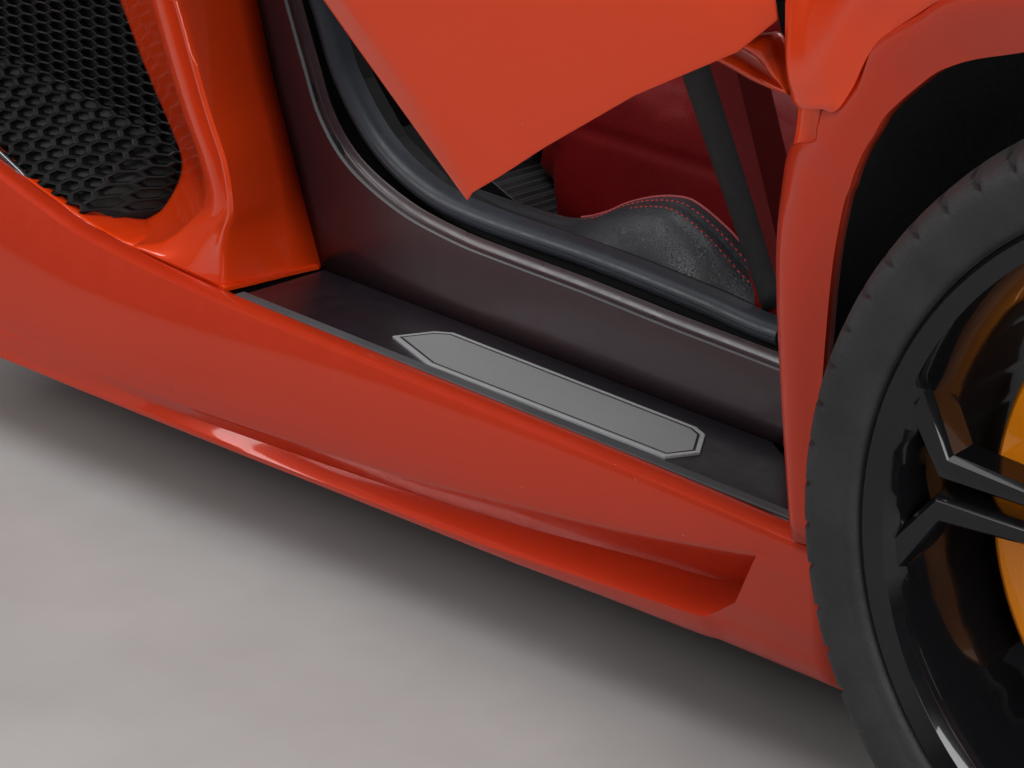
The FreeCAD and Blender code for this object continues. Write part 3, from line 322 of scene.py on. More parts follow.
def curve_grid(rows, row_steps, col_steps):
    columns = [curve(column, row_steps) for column in zip(*rows)]
    return [curve(row, col_steps) for row in zip(*columns)]


def levels(table, counts):
    # The table's rows with steps between them, a count for each gap.
    made = []
    for a, b, steps in zip(table, table[1:], counts):
        made += [[mix(p, q, k / steps) for p, q in zip(a, b)] for k in range(steps)]
    return made + [table[-1]]


def grid_faces(rows, cols, loop_rows=False, loop_cols=False, first=0):
    faces = []
    for i in range(rows if loop_rows else rows - 1):
        m = (i + 1) % rows
        for j in range(cols if loop_cols else cols - 1):
            n = (j + 1) % cols
            faces.append(tuple(first + k for k in (i * cols + j, i * cols + n, m * cols + n, m * cols + j)))
    return faces


def inset(path, distance):
    # An open path of pairs, moved to the left of its run.
    sides = []
    for (x, z), (after_x, after_z) in zip(path, path[1:]):
        size = math.hypot(after_x - x, after_z - z)
        sides.append(((z - after_z) / size, (after_x - x) / size))
    moved = []
    for i, (x, z) in enumerate(path):
        a = sides[max(i - 1, 0)]
        b = sides[min(i, len(sides) - 1)]
        reach = distance / (1 + a[0] * b[0] + a[1] * b[1])
        moved.append((x + (a[0] + b[0]) * reach, z + (a[1] + b[1]) * reach))
    return moved


def ring_inset(outline, distance):
    # The same for a closed outline.
    return inset(outline[-1:] + outline + outline[:1], distance)[1:-1]


def around(count):
    # Cosine and sine at equal steps of a turn.
    turns = [2 * math.pi * k / count for k in range(count)]
    return [(math.cos(turn), math.sin(turn)) for turn in turns]


def oval(width, height):
    return [(width / 2 * a, height / 2 * b) for a, b in around(8)]


def crossing(a, b, y, steps):
    # Points on the way from a to b in the plane y, each with its own lift along y.
    a = Vector((a[0], y, a[1]))
    b = Vector((b[0], y, b[1]))
    return [a.lerp(b, t) + Vector((0, lift, 0)) for t, lift in steps]


# Helpers for objects
def linked(name, data):
    made = bpy.data.objects.new(name, data)
    SCENE.collection.objects.link(made)
    return made


def dress(obj, look):
    obj.data.materials.clear()
    obj.data.materials.append(MAT[look])


def settle(obj, look, body, hides=()):
    # Dresses an object and the nodes that it stands for, and gives it its body.
    dress(obj, look)
    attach(obj, body)
    if hides:
        for name in hides:
            dress(nodes[name], look)
        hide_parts(*hides)


def smooth(mesh, sharp=None):
    mesh.polygons.foreach_set("use_smooth", [True] * len(mesh.polygons))
    if sharp:
        mesh.set_sharp_from_angle(angle=math.radians(sharp))


def evaluated(obj):
    # The object's mesh with its modifiers applied.
    shape = obj.evaluated_get(bpy.context.evaluated_depsgraph_get())
    return bpy.data.meshes.new_from_object(shape)


def piece(name, verts, faces, look, slot, hides=(), sharp=35, body="body_side"):
    mesh = bpy.data.meshes.new(name)
    mesh.from_pydata([tuple(at(*v)) for v in verts], [], faces)
    mesh.validate()
    made = linked(name, mesh)
    if sharp:
        smooth(mesh, sharp)
    settle(made, look, body, hides)
    return made


def face_out(obj, toward):
    # Turns the faces to look toward the given way.
    total = Vector()
    for poly in obj.data.polygons:
        total += poly.normal * poly.area
    if total.dot(Vector(toward)) < 0:
        obj.data.flip_normals()


def even_normals(obj):
    work = bmesh.new()
    work.from_mesh(obj.data)
    bmesh.ops.recalc_face_normals(work, faces=work.faces)
    work.to_mesh(obj.data)
    work.free()


def thicken(obj, size, toward):
    face_out(obj, toward)
    made = obj.modifiers.new("thick", "SOLIDIFY")
    made.thickness = size / MM
    made.offset = -1
    made.use_even_offset = False


def bevel(obj, width, angle):
    made = obj.modifiers.new("edge", "BEVEL")
    made.width = width / MM
    made.segments = 2
    made.limit_method = "ANGLE"
    made.angle_limit = math.radians(angle)
    made.harden_normals = False


def sheet(name, rows, look, slot, hides=(), thick=3, toward=(0, -1, 0), sharp=60, body="body_side"):
    verts = [p for row in rows for p in row]
    made = piece(name, verts, grid_faces(len(rows), len(rows[0])), look, slot, hides, sharp, body)
    if thick:
        thicken(made, thick, toward)
    return made


def sweep(name, path, profile, look, slot, hides=(), sharp=40, side_way=(0, 1, 0)):
    # A closed profile of pairs, across and to the side, carried along a path.
    side_way = Vector(side_way)
    verts = []
    for i, here in enumerate(path):
        before = Vector(path[max(i - 1, 0)])
        after = Vector(path[min(i + 1, len(path) - 1)])
        along = (after - before).normalized()
        across = along.cross(side_way).normalized()
        side = across.cross(along).normalized()
        if side.dot(side_way) < 0:
            side = -side
        verts += [Vector(here) + across * a + side * b for a, b in profile]
    size = len(profile)
    faces = grid_faces(len(path), size, False, True)
    faces.append(tuple(range(size)))
    faces.append(tuple(reversed(range(len(verts) - size, len(verts)))))
    made = piece(name, verts, faces, look, slot, hides, sharp)
    even_normals(made)


def refined(name, look, width, slot=None):
    # A rounded copy of a CAD node. Its slot is not used.
    work = bmesh.new()
    work.from_mesh(nodes[name].data)
    bmesh.ops.remove_doubles(work, verts=work.verts, dist=0.00002)
    bmesh.ops.dissolve_limit(work, angle_limit=math.radians(1.5), verts=work.verts, edges=work.edges)
    mesh = bpy.data.meshes.new(name + "_look")
    work.to_mesh(mesh)
    work.free()
    made = linked(name + "_look", mesh)
    made.matrix_world = nodes[name].matrix_world.copy()
    smooth(mesh, 40)
    if width:
        bevel(made, width, 32)
    settle(made, look, BODY[name], [name])
    return made


# Side skirt with its air channel
RAIL_Y = -926
SKIRT_BULGE = 9
RAIL_LIP = [(22, 3.4), (17, 4.5), (10, 4.3), (5, 2.9), (1.6, 0.2), (0, -4)]
# Each row: x, rail's height, foot's y and height, depth of the channel, heights of its crease, floor and lip,
# x of the floor and of the lip
skirt_table = [
    (-376, 220, -893, 94, 0, 200, 146, 118, -376, -376),
    (-438.5, 221, -896, 93, 0, 200, 146, 118, -469, -508),
    (-440, 221, -897, 93, 44, 199, 144, 118, -472, -510),
    (-500, 222, -899, 92, 44, 187, 132, 116, -516, -532),
    (-610, 223, -904, 91, 35, 168, 126, 109, -617, -625),
    (-730, 223, -912, 90, 27, 153, 117, 102, -735, -740),
    (-880, 223, -920, 90, 18, 136, 110, 99, -883, -885),
    (-1130, 224, -936, 91, 6, 124, 108, 99, -1130, -1130),
    (-1290, 233, -945, 91, 0, 124, 110, 100, -1290, -1290),
    (-1360, 245, -948, 91, 0, 124, 110, 100, -1360, -1360),
    (-1430, 261, -952, 91, 0, 125, 111, 101, -1430, -1430),
    (-1560, 295, -957, 92, 0, 126, 113, 103, -1560, -1560),
    (-1700, 330, -962, 93, 0, 126, 115, 105, -1700, -1700),
]


def skirt_stations():
    tail = skirt_table[2:]
    ends = tail[:1] + tail + tail[-1:]
    made = levels(skirt_table[:2], [6])
    for four in zip(ends, ends[1:], ends[2:], ends[3:]):
        made += [[through(*column, k / 6) for column in zip(*four)] for k in range(6)]
    return made + [tail[-1]]


def skirt_section(row):
    x, rail, foot_y, foot_z, deep, up, floor, low, floor_x, low_x = row
    deep = max(deep, 0)

    def side(z):
        t = (z - foot_z) / (rail - foot_z)
        return foot_y + (RAIL_Y - foot_y) * t - SKIRT_BULGE * 4 * t * (1 - t)

    run = [(x, RAIL_Y + over, rail + rise) for over, rise in RAIL_LIP]
    for k in range(1, 6):
        z = mix(rail - 4, up + 2.5, k / 5)
        run.append((x, side(z), z))
    run.append((x, side(up) + 0.5, up - 0.6))
    run.append((x - 1, side(up) + 2.2 * min(deep / 20, 1), up - 3))
    floor_y = side(floor) + deep
    for k in range(1, 5):
        t = k / 4.5
        sag = deep * 0.05 * math.sin(math.pi * t)
        run.append((mix(x, floor_x, t), mix(side(up), floor_y, t) + sag, mix(up, floor, t)))
    run.append((floor_x, floor_y - deep * 0.01, floor))
    low_y = side(low)
    for t in (0.18, 0.45, 0.72, 0.92):
        run.append((mix(floor_x, low_x, t), mix(floor_y, low_y, t), mix(floor, low, t)))
    foot = [
        (low_y - 0.4, low - 0.8), (mix(low_y, foot_y, 0.35) - 1, mix(low, foot_z, 0.35)),
        (mix(low_y, foot_y, 0.7) - 0.5, mix(low, foot_z, 0.7)), (foot_y + 0.6, foot_z + 1.6),
        (foot_y + 3, foot_z + 0.4), (foot_y + 8, foot_z), (-845, foot_z + 4),
    ]
    return run + [(low_x, y, z) for y, z in foot]


skirt = [skirt_section(row) for row in skirt_stations()]
# The skirt wears the darker copy of the paint: painted shade
sheet("side_skirt_look", skirt, "matte_shaded", "body_paint", ["side_skirt"], thick=4, sharp=28)

# Rear quarter: cover on the post, running into the duct and its shelf
POST_Y = -905
WALL_Y = -804
# Each row: inner edge, outer corner, depth of the groove along y, crease into the duct, end at the mesh
cover_table = [
    ((-1100, -804, 226), (-1116, -905, 226), (0, 0, 0), (-1247, -905, 233.5), (-1345, -829, 227.5)),
    ((-1108, -804, 248), (-1113, -905, 257), (0, 0, 0), (-1214, -893, 243), (-1311, -824, 242)),
    ((-1118, -804, 274), (-1106, -905, 280), (0, 1, 0), (-1185, -884, 267), (-1287, -820.5, 265)),
    ((-1128, -804, 302), (-1096, -905, 304), (0, 6, 0), (-1167, -880, 290), (-1281, -819.5, 290)),
    ((-1143, -804, 345), (-1102, -905, 345), (0, 15, 0), (-1172, -880, 325), (-1295, -821.5, 320)),
    ((-1159, -804, 388), (-1123, -905, 388), (0, 18, 0), (-1199, -880, 376), (-1324, -826, 373)),
    ((-1179, -804, 458), (-1152, -905, 458), (0, 18, 0), (-1234, -880, 458), (-1362, -832, 455)),
    ((-1200, -804, 520), (-1176, -905, 520), (0, 18, 0), (-1262, -878, 520), (-1390, -836, 520)),
    ((-1242, -785, 620), (-1216, -886, 620), (0, 16, 0), (-1310, -860, 620), (-1416, -841, 620)),
    ((-1262, -771, 665), (-1241, -872, 665), (0, 12, 0), (-1332, -843, 665), (-1424, -846, 665)),
    ((-1312, -734, 780), (-1304, -835, 780), (0, 6, 0), (-1390, -800, 780), (-1440, -790, 780)),
]
# Shares of the way from corner to crease, and of the groove's depth
GROOVE = [
    (0.17, 0), (0.21, 0.10), (0.26, 0.45), (0.31, 0.85), (0.37, 1), (0.44, 0.86), (0.52, 0.40), (0.60, 0.08),
    (0.66, 0), (0.78, -0.06), (0.90, -0.04),
]
# Share of the way on to the mesh, and the sag there
INSIDE = [(0.012, 0), (0.05, 0.6), (0.15, 2), (0.35, 4), (0.6, 4.5), (0.8, 3), (0.93, 1), (1, 0)]


def cover_rows():
    made = []
    for inner, corner, groove, crease, end in zip(*[curve(column, 6) for column in zip(*cover_table)]):
        row = [inner.lerp(corner, t) for t in (0, 0.3, 0.6, 0.85, 0.94)]
        round_off = ((-0.8, (inner.y - corner.y) * 0.022), (-3.2, -0.8), (-7, -0.4))
        row += [corner + Vector((x, y, 0)) for x, y in round_off]
        depth = max(groove.y, 0)
        row += [corner + (crease - corner) * t + Vector((0, depth * deep, 0)) for t, deep in GROOVE]
        row.append(crease + Vector((1.2, -0.6, 0)))
        row += [crease + (end - crease) * t + Vector((0, sag * 0.6, -sag * 0.5)) for t, sag in INSIDE]
        made.append(row)
    return made


sheet("quarter_cover_look", cover_rows(), "paint", "body_paint", ["quarter_cover"], sharp=50)
foot_line = [(x, y, 227.4) for x, y in ((-1101.5, -808), (-1106, -840), (-1110, -880), (-1114, -906))]
foot_profile = [(-4.5, -1), (2.5, -1.4), (5.2, 0), (5.2, 1.6), (2, 2.6), (-4.5, 2.4)]
sweep("cover_foot", curve(foot_line, 6), foot_profile, "paint", "body_paint", side_way=(0, 0, 1))

MESH_FRONT = (-1240, -812)
MESH_REAR = (-1690, -880)


def along_mesh(x):
    # Y of the mesh's straight line at x.
    return mix(MESH_FRONT[1], MESH_REAR[1], (x - MESH_FRONT[0]) / (MESH_REAR[0] - MESH_FRONT[0]))


def skirt_rail(x):
    # Height of the skirt's rail at x.
    for a, b in zip(skirt_table[2:], skirt_table[3:]):
        if b[0] <= x <= a[0]:
            return mix(a[1], b[1], (x - a[0]) / (b[0] - a[0]))
    return skirt_table[-1][1]


shelf_line = [
    (-1236, 230), (-1262, 228), (-1290, 227), (-1330, 227.5), (-1380, 236), (-1430, 250), (-1500, 271),
    (-1600, 297), (-1698, 317),
]
shelf = []
for x, inner_z in shelf_line:
    rail_top = skirt_rail(x) + 3.4
    inner_y = along_mesh(x) - 1
    shelf.append([(x, mix(POST_Y, inner_y, t), mix(rail_top, inner_z, t) + 2 * math.sin(math.pi * t))
                  for t in (0, 0.06, 0.2, 0.5, 0.8, 1)])
roof = []
for x, lift in ((-1224, 0), (-1300, 6), (-1450, 20), (-1698, 42)):
    y = POST_Y + (x + 1220) * 0.09
    roof.append([(x, y, 637 + lift), (x, mix(y, along_mesh(x), 0.5), 634 + lift),
                 (x, along_mesh(x) - 1, 632 + lift)])
back = [(-955, 345), (-925, 790), (-840, 880), (-820, 330), (-820, 150), (-945, 130)]
verts = [p for row in shelf + roof for p in row]
faces = grid_faces(len(shelf), len(shelf[0]))
faces += grid_faces(len(roof), len(roof[0]), first=len(shelf) * len(shelf[0]))
faces.append(tuple(range(len(verts), len(verts) + len(back))))
verts += [(-1700, y, z) for y, z in back]
duct = piece("intake_duct_look", verts, faces, "paint_inner", "body_paint", ["intake_duct"])
thicken(duct, 3, (0, -0.2, 1))

panel_rows = [
    [(-1220, -912, 640), (-1450, -940, 660), (-1700, -960, 680)],
    [(-1262, -880, 740), (-1480, -905, 770), (-1700, -925, 790)],
    [(-1312, -820, 800), (-1500, -830, 860), (-1700, -840, 880)],
]
sheet("quarter_panel_look", curve_grid(panel_rows, 6, 8), "paint", "body_paint", ["quarter_panel"], thick=4,
      toward=(0, -1, 0.3), sharp=35)

# Honeycomb mesh in the intake, its foot swept out to the skirt's rail
CELL_X = 19.5
CELL_Z = 9.8
CELL_BAR = 0.24
MESH_DEPTH = 7
MESH_START = -1262
FOOT_Y = -902


def mesh_low(x):
    return 228 + max(0, -1300 - x) * 0.21


def mesh_front(z):
    # Forward edge of the mesh, with its round lower corner.
    line = MESH_START - max(0, z - 300) * 0.42
    if z < 285:
        line -= 46 * (1 - math.cos(min((285 - z) / 57, 1) * math.pi / 2))
    return line


def mesh_y(x, z):
    deep = max(0, min((mesh_low(x) + 74 - z) / 62, 1))
    reach = max(0, min((-1284 - x) / 44, 1))
    return along_mesh(x) - (along_mesh(x) - FOOT_Y) * deep ** 1.15 * reach


def in_mesh(x, z):
    roof_z = 636 + (MESH_FRONT[0] - x) * 0.085
    return mesh_low(x) <= z <= roof_z and -1686 <= x <= mesh_front(z) - 6


def honeycomb():
    verts = []
    faces = []
    corners = [(0.667, 0), (0.333, 0.5), (-0.333, 0.5), (-0.667, 0), (-0.333, -0.5), (0.333, -0.5)]
    # Rings of a cell: depth, size, and how far its rim is rounded in
    hole = 1 - CELL_BAR
    rings = [(0, 1, 0), (0, hole, 0.9), (MESH_DEPTH, 1, 0), (MESH_DEPTH, hole, 0)]
    for i in range(24):
        for j in range(44):
            x = MESH_START - i * CELL_X
            z = 226 + (j + 0.5 * (i % 2)) * CELL_Z
            if not in_mesh(x, z):
                continue
            first = len(verts)
            for off, grow, rounding in rings:
                for a, b in corners:
                    px = x + a * CELL_X * grow
                    pz = z + b * CELL_Z * grow
                    verts.append((px, mesh_y(px, pz) + off + rounding, pz))
            for k in range(6):
                n = (k + 1) % 6
                faces.append((first + k, first + n, first + 6 + n, first + 6 + k))
                faces.append((first + 6 + k, first + 6 + n, first + 18 + n, first + 18 + k))
    return verts, faces


piece("intake_mesh_look", *honeycomb(), "mesh_black", "black_plastic", ["intake_mesh"], sharp=None)
# A near-black sheet just behind the mesh: painted shade for the dark duct behind it
shade_sheet_rows = []
for k in range(25):
    z = mix(222, 646, k / 24)
    front = mesh_front(z) + 8
    shade_sheet_rows.append([(x, mesh_y(x, z) + MESH_DEPTH + 0.6, max(z, mesh_low(x) - 1.5)) for x in
                    (front, front - 12, front - 30, front - 60, -1400, -1500, -1600, -1692)])
sheet("mesh_shade_sheet", shade_sheet_rows, "painted_shade", "black_plastic", thick=0.5, sharp=35)
fin_line = [(-1384, 246.5, 248), (-1420, 256, 265), (-1480, 270, 286), (-1560, 290, 308), (-1640, 309, 330)]
# Y, share of the height, and drop from there
FIN_STEPS = [
    (-904, 0, 0), (-905.2, 0.5, 0), (-904.4, 1, 1.5), (-903, 1, 0), (-901, 1, 0.6), (-897, 0.5, 0),
    (-896, 0, 0),
]
fin_rows = [[(x, y, mix(low, high, t) - drop) for y, t, drop in FIN_STEPS] for x, low, high in fin_line]
sheet("intake_fin_look", fin_rows, "fin", "gloss_black", ["intake_fin"], thick=0, sharp=50)

# Tub wall, its lip and the channel in front of the seal
lip_line = [
    (-512, 283), (-541, 284), (-600, 285), (-663, 286), (-762, 289), (-860, 290), (-922, 292), (-994, 302),
    (-1061, 327), (-1100, 364), (-1122, 411), (-1144, 464), (-1166, 520),
]
lip_path = inset(flat_curve(lip_line, 6), -1.6)
lip_in = inset(lip_path, -10)
lip_mid = inset(lip_path, -1.6)
wall_back = [(219.5, -1101), (302, -1130), (388, -1161), (458, -1181), (520, -1202)]


def wall_back_x(z):
    for (z0, x0), (z1, x1) in zip(wall_back, wall_back[1:]):
        if z <= z1:
            return mix(x0, x1, (z - z0) / (z1 - z0))
    return wall_back[-1][1]


wall_rows = []
for (x, z), (ix, iz), (mx, mz) in zip(lip_path, lip_in, lip_mid):
    if z < 360:
        foot = (x if x > -1060 else mix(-1060, -1112, min((-1060 - x) / 40, 1)), 225.4)
    else:
        foot = (max(wall_back_x(z) + 4, -1198), z - 6)
    row = [(mix(foot[0], mx, t), WALL_Y, mix(foot[1], mz, t)) for t in (0, 0.3, 0.6, 0.85, 0.96)]
    row += [(mx, -803.9, mz), (mix(mx, x, 0.6), -803, mix(mz, z, 0.6)), (x, -801.4, z), (x, -796, z),
            (mix(x, mx, 0.4), -793.4, mix(z, mz, 0.4)), (mx, -792.2, mz), (ix, -791.6, iz)]
    wall_rows.append(row)
sheet("tub_wall_look", wall_rows, "tub", "carbon", thick=0.6, sharp=50)
# The CAD wall under the look sheet is painted near-black: painted shade where it shows through
dress(nodes["tub_wall"], "painted_shade")
lip_run = [(x, -801.6, z + 0.2) for x, z in inset(lip_path, -0.4)]
sweep("lip_edge", lip_run, oval(2.6, 4.6), "lip", "black_satin")

# Seal round the door opening
seal_line = [
    (-674, -774, 560), (-712, -752, 640), (-800, -678, 820), (-930, -600, 1005), (-1010, -577, 1060),
    (-1180, -568, 1076), (-1330, -577, 1060), (-1372, -598, 1020), (-1310, -655, 880), (-1225, -728, 700),
    (-1152, -774, 540), (-1113, -775, 440), (-1090, -775, 394), (-1047, -775, 349), (-990, -775, 322),
    (-917, -775, 312), (-768, -775, 312), (-651, -775, 308), (-609, -775, 305), (-580, -775, 303),
    (-556, -775, 303),
]
seal_profile = [
    (-9.5, 10), (-9.8, 0), (-8.8, -6), (-5.8, -10), (-2, -11.7), (0.2, -11.8), (0.7, -10.9), (1.2, -11.7),
    (4, -11.2), (7.6, -8.6), (9.6, -4), (9.9, 2), (9.5, 10),
]
sweep("door_seal_look", curve(seal_line, 6), seal_profile, "rubber", "rubber", ["door_seal"], sharp=60)

# Trim up the front leg of the opening, behind the seal. Each row: x and z of its rear and front edge
leg_line = [
    ((-592, 310), (-569, 324)), ((-612.9, 349.5), (-594.9, 381.8)), ((-651.1, 419.2), (-623.7, 442.3)),
    ((-688.2, 488.5), (-653.7, 502.5)), ((-712, 532), (-680, 548)),
]
LEG_STEPS = [(0, 14), (0, 1.5), (0.06, -1.6), (0.4, -3), (0.75, -2.4), (0.95, -0.6), (1, 2), (1, 14)]
leg_rows = curve_grid([crossing(rear, front, -762, LEG_STEPS) for rear, front in leg_line], 4, 1)
leg = [curve(ring, 2) for ring in leg_rows]
sheet("front_leg_look", leg, "black_plastic", "black_plastic", ["front_leg_trim"], thick=1.5, sharp=50)

# Leather trim on the sill, with its hump, piping and two stitched seams
hump_line = [
    (-1100, 296), (-1000, 296), (-930, 296.5), (-885, 300), (-850, 313), (-821, 329), (-786, 343),
    (-753, 350), (-732, 347), (-704, 336), (-684, 325), (-660, 311), (-625, 296), (-592, 288),
]
hump_top = flat_curve(hump_line, 7)
# Y, drop below the top, and share of the hump's rise lost there
TRIM_STEPS = [
    (-690, 5, 0), (-690.6, 1.4, 0), (-692.5, 0.2, 0), (-697, 0.8, 0), (-702.5, 1.8, 0), (-704.6, 3, 0),
    (-706.5, 3.2, 0), (-708.5, 2.9, 0), (-714, 4.4, 0), (-721, 7, 0.08), (-728, 10, 0.28), (-735, 12, 0.52),
    (-741, 15, 0.76), (-744.4, 20, 0.9),
]
TRIM_Y = -745
trim_rows = []
for x, z in hump_top:
    rise = max(z - 294, 0)
    top = [(x, y, z - drop - rise * share) for y, drop, share in TRIM_STEPS]
    trim_rows.append([(x, -690.5, 226)] + top + [(x, TRIM_Y, 240), (x, TRIM_Y, 226)])
sheet("sill_trim_look", trim_rows, "leather_black", "black_leather", ["sill_trim"], thick=2, toward=(0, 0, 1))
foot_trim = [[(x, TRIM_Y, 154), (x, TRIM_Y, 224), (x, -733, 224)] for x in (-1100, -850, -590)]
sheet("sill_trim_foot", foot_trim, "carpet", "carbon", thick=2, sharp=35)
piping = [(x, -690.8, z + 0.2) for x, z in hump_top if x > -880]
sweep("trim_piping", piping, oval(2.2, 2.2), "piping", "red_leather")
THREAD = 3.8
THREAD_GAP = 2.4
THREAD_R = 0.75


def spaced(line, step):
    # Points at equal steps along a line.
    made = [line[0]]
    left = step
    for a, b in zip(line, line[1:]):
        run = (b - a).length
        while run >= left:
            a = a.lerp(b, left / run)
            made.append(a)
            run = (b - a).length
            left = step
        left -= run
    return made


def stitches(name, line):
    # Short threads laid along a line of points.
    verts = []
    faces = []
    places = spaced(line, THREAD + THREAD_GAP)
    for a, b in zip(places, places[1:]):
        along = (b - a).normalized()
        side = along.cross(Vector((0, 0, 1))).normalized()
        up = side.cross(along).normalized()
        faces += grid_faces(4, 6, False, True, len(verts))
        for t, grow in ((0, 0.35), (0.2, 1), (0.8, 1), (1, 0.35)):
            centre = a + along * THREAD * t - up * (THREAD_R * (0.9 - 0.6 * grow))
            verts += [centre + (side * c + up * s) * THREAD_R * grow for c, s in around(6)]
    piece(name, verts, faces, "stitch", "red_leather")


for name, y, drop, start in (("trim_stitch_inner", -699.6, 1.2, -860),
                             ("trim_stitch_outer", -712, 3.9, -800)):
    line = curve([(x, y, z - drop) for x, z in hump_line if x > start - 40], 12)
    stitches(name, [p for p in line if p.x > start])

# Tread plate with a dark line let into its rim. Each step: distance from the outline, and height
tread_outline = [
    (-851, -893.5), (-574, -890), (-561, -864), (-584, -835), (-600, -829), (-892, -829), (-906, -839),
    (-922, -872),
]
plate_steps = [(0, 225.2), (0, 227.2), (0.5, 227.5), (4, 227.5), (4.3, 226.9), (6, 226.9), (6.3, 227.5)]
verts = [(x, y, z) for distance, z in plate_steps for x, y in ring_inset(tread_outline, distance)]
size = len(tread_outline)
faces = grid_faces(len(plate_steps), size, False, True)
faces.append(tuple(range(len(verts) - size, len(verts))))
tread = piece("tread_plate_look", verts, faces, "plate", "brushed_aluminium", ["tread_plate"], sharp=20)
face_out(tread, (0, 0, 1))
for look in ("inlay", "plate_edge"):
    tread.data.materials.append(MAT[look])
for i, poly in enumerate(tread.data.polygons):
    if i < size * 6:
        poly.material_index = 2 if i < size * 3 else 1

# Front wing: flare and blade round the arch, a skin above, and a recess between them
# Rows run from the arch outwards
flare_table = [
    [(-376, -928, 226), (-390, -931, 226), (-398, -931, 226), (-405, -926, 226)],
    [(-374, -930, 329), (-396, -934, 333), (-409, -932, 337), (-418, -926, 340)],
    [(-365, -932, 439), (-396, -936, 440), (-413, -934, 440), (-425, -926, 440)],
    [(-351, -937, 497), (-386, -942, 500), (-405, -936, 502), (-419, -926.5, 503)],
    [(-342, -940, 516), (-377, -944, 521), (-397, -938, 524), (-411, -929, 526)],
    [(-337, -942, 527), (-367, -946, 532), (-383, -943, 534), (-395, -937, 536)],
    [(-332, -943, 537), (-354, -948, 543), (-364, -948, 544), (-371, -946.5, 545)],
    [(-326, -944, 548), (-346, -949, 554), (-358, -949, 556), (-368, -947.5, 557)],
    [(-315, -946, 563), (-336, -952, 570), (-346, -951, 574), (-362, -946, 580)],
    [(-303, -948, 580), (-320, -956, 594), (-326, -953, 600), (-340, -947, 612)],
    [(-274, -952, 606), (-300, -962, 627), (-306, -957, 636), (-318, -950, 648)],
    [(-243, -957, 628), (-260, -968, 653), (-266, -963, 663), (-276, -954, 676)],
    [(-190, -962, 649), (-200, -980, 685), (-204, -975, 696), (-214, -964, 708)],
    [(-50, -985, 690), (-50, -994, 716), (-51, -990, 728), (-54, -980, 740)],
    [(150, -985, 690), (151, -994, 716), (152, -990, 728), (155, -980, 740)],
    [(290, -972, 610), (305, -981, 628), (311, -977, 635), (322, -968, 645)],
    [(352, -962, 490), (372, -966, 498), (381, -962, 501), (395, -955, 505)],
    [(374, -955, 340), (392, -957, 343), (401, -954, 345), (412, -950, 347)],
    [(376, -945, 226), (394, -947, 226), (402, -945, 226), (412, -942, 226)],
]
flare = curve_grid(list(zip(*flare_table)), 4, 6)
turned = [[p + Vector((0, back_y, 0)) for p in flare[0]] for back_y in (9, 2.2)]
flare[0] = [p + Vector((0, -0.4, 0)) for p in flare[0]]
# The flare and blade wear the darker copy of the paint: painted shade
sheet("front_wing_look", turned + flare, "matte_shaded", "body_paint", ["front_wing"])
skin_table = [
    [(-399, -941, 568), (-408, -938, 592), (-421, -926, 631)],
    [(-389, -946, 566), (-401, -944, 598), (-422, -914, 668)],
    [(-375, -950, 568), (-390, -946, 608), (-423, -896, 708)],
    [(-361, -952, 572), (-380, -947, 618), (-421, -876, 738)],
    [(-346, -953, 574), (-368, -949, 632), (-408, -858, 758)],
    [(-329, -955, 595), (-352, -951, 652), (-388, -842, 778)],
    [(-309, -959, 626), (-334, -952, 678), (-362, -826, 798)],
    [(-270, -965, 658), (-300, -958, 706), (-325, -808, 812)],
    [(-205, -976, 692), (-230, -964, 738), (-262, -794, 815)],
    [(-51, -991, 724), (-66, -982, 756), (-60, -765, 815)],
    [(152, -991, 724), (160, -979, 752), (150, -745, 810)],
    [(310, -978, 632), (342, -960, 660), (370, -740, 745)],
    [(380, -963, 500), (402, -955, 510), (448, -880, 560)],
    [(400, -955, 345), (414, -950, 345), (452, -935, 345)],
    [(402, -946, 226), (414, -942, 226), (452, -935, 226)],
]
skin = curve_grid(list(zip(*skin_table)), 8, 6)
rolled = [[p + Vector(move) for p in skin[0]] for move in ((0, 4, 1), (0, 0.6, -0.4))]
sheet("wing_skin", rolled + skin, "paint", "body_paint", thick=2, toward=(0, -1, 0.2))
recess = [
    [(-405, -932, 528), (-385, -934, 530), (-362, -938, 538)],
    [(-403, -930, 550), (-383, -931, 552), (-362, -936, 556)],
    [(-400, -932, 578), (-380, -933, 580), (-362, -938, 582)],
]
sheet("wing_recess", curve_grid(recess, 3, 3), "paint_inner", "body_paint", thick=1.5, sharp=35)

# Tyre and its tread
KING_X = -11.04
KING_Y = -801.02
HUB_Z = 325
TYRE_R = 330
STEER = math.radians(10.6)
AHEAD = Vector((math.cos(STEER), math.sin(STEER), 0))
AXLE = Vector((-math.sin(STEER), math.cos(STEER), 0))
TYRE_STEPS = 1024


def wheel_at(x, out, z):
    # A place in the wheel's own frame: forward, outboard and up from its middle.
    y = -(60 + out)
    ahead = x * math.cos(STEER) - y * math.sin(STEER)
    side = x * math.sin(STEER) + y * math.cos(STEER)
    return (KING_X + ahead, KING_Y + side, HUB_Z + z)


# Half of the tyre's outline from the bead to the shoulder, then places across the tread
tyre_half = [
    (262.5, 108.3), (266, 111.5), (270.5, 113.3), (275.5, 113), (277, 116.2), (281, 119.4), (284.5, 119.6),
    (287, 120.6), (293, 122.4), (299, 123.5), (305, 123.8), (310, 122.8), (314.5, 120.4), (318.5, 116.6),
    (321.8, 111.4), (324.6, 104), (326.8, 95), (328.4, 84),
]
tread_outs = [78, 72, 66, 62, 58, 57, 56, 48, 40, 32, 24, 22, 21, 20, 12, 4]


def tread_depth(turn, out):
    # Long grooves, slanted cuts from the shoulders, and finer cuts between the grooves.
    side = abs(out)
    deep = 6 if min(abs(side - 60), abs(side - 21)) < 3.6 else 0
    phase = (turn * 64 / (2 * math.pi) + side * 0.012) % 1
    if 66 < side < 122.5 and phase < 0.125:
        deep = max(deep, 5 if side < 117 else 2.6)
    if 24 < side < 56 and (phase + 0.5 + side * 0.02) % 1 < 0.09:
        deep = max(deep, 4)
    return deep


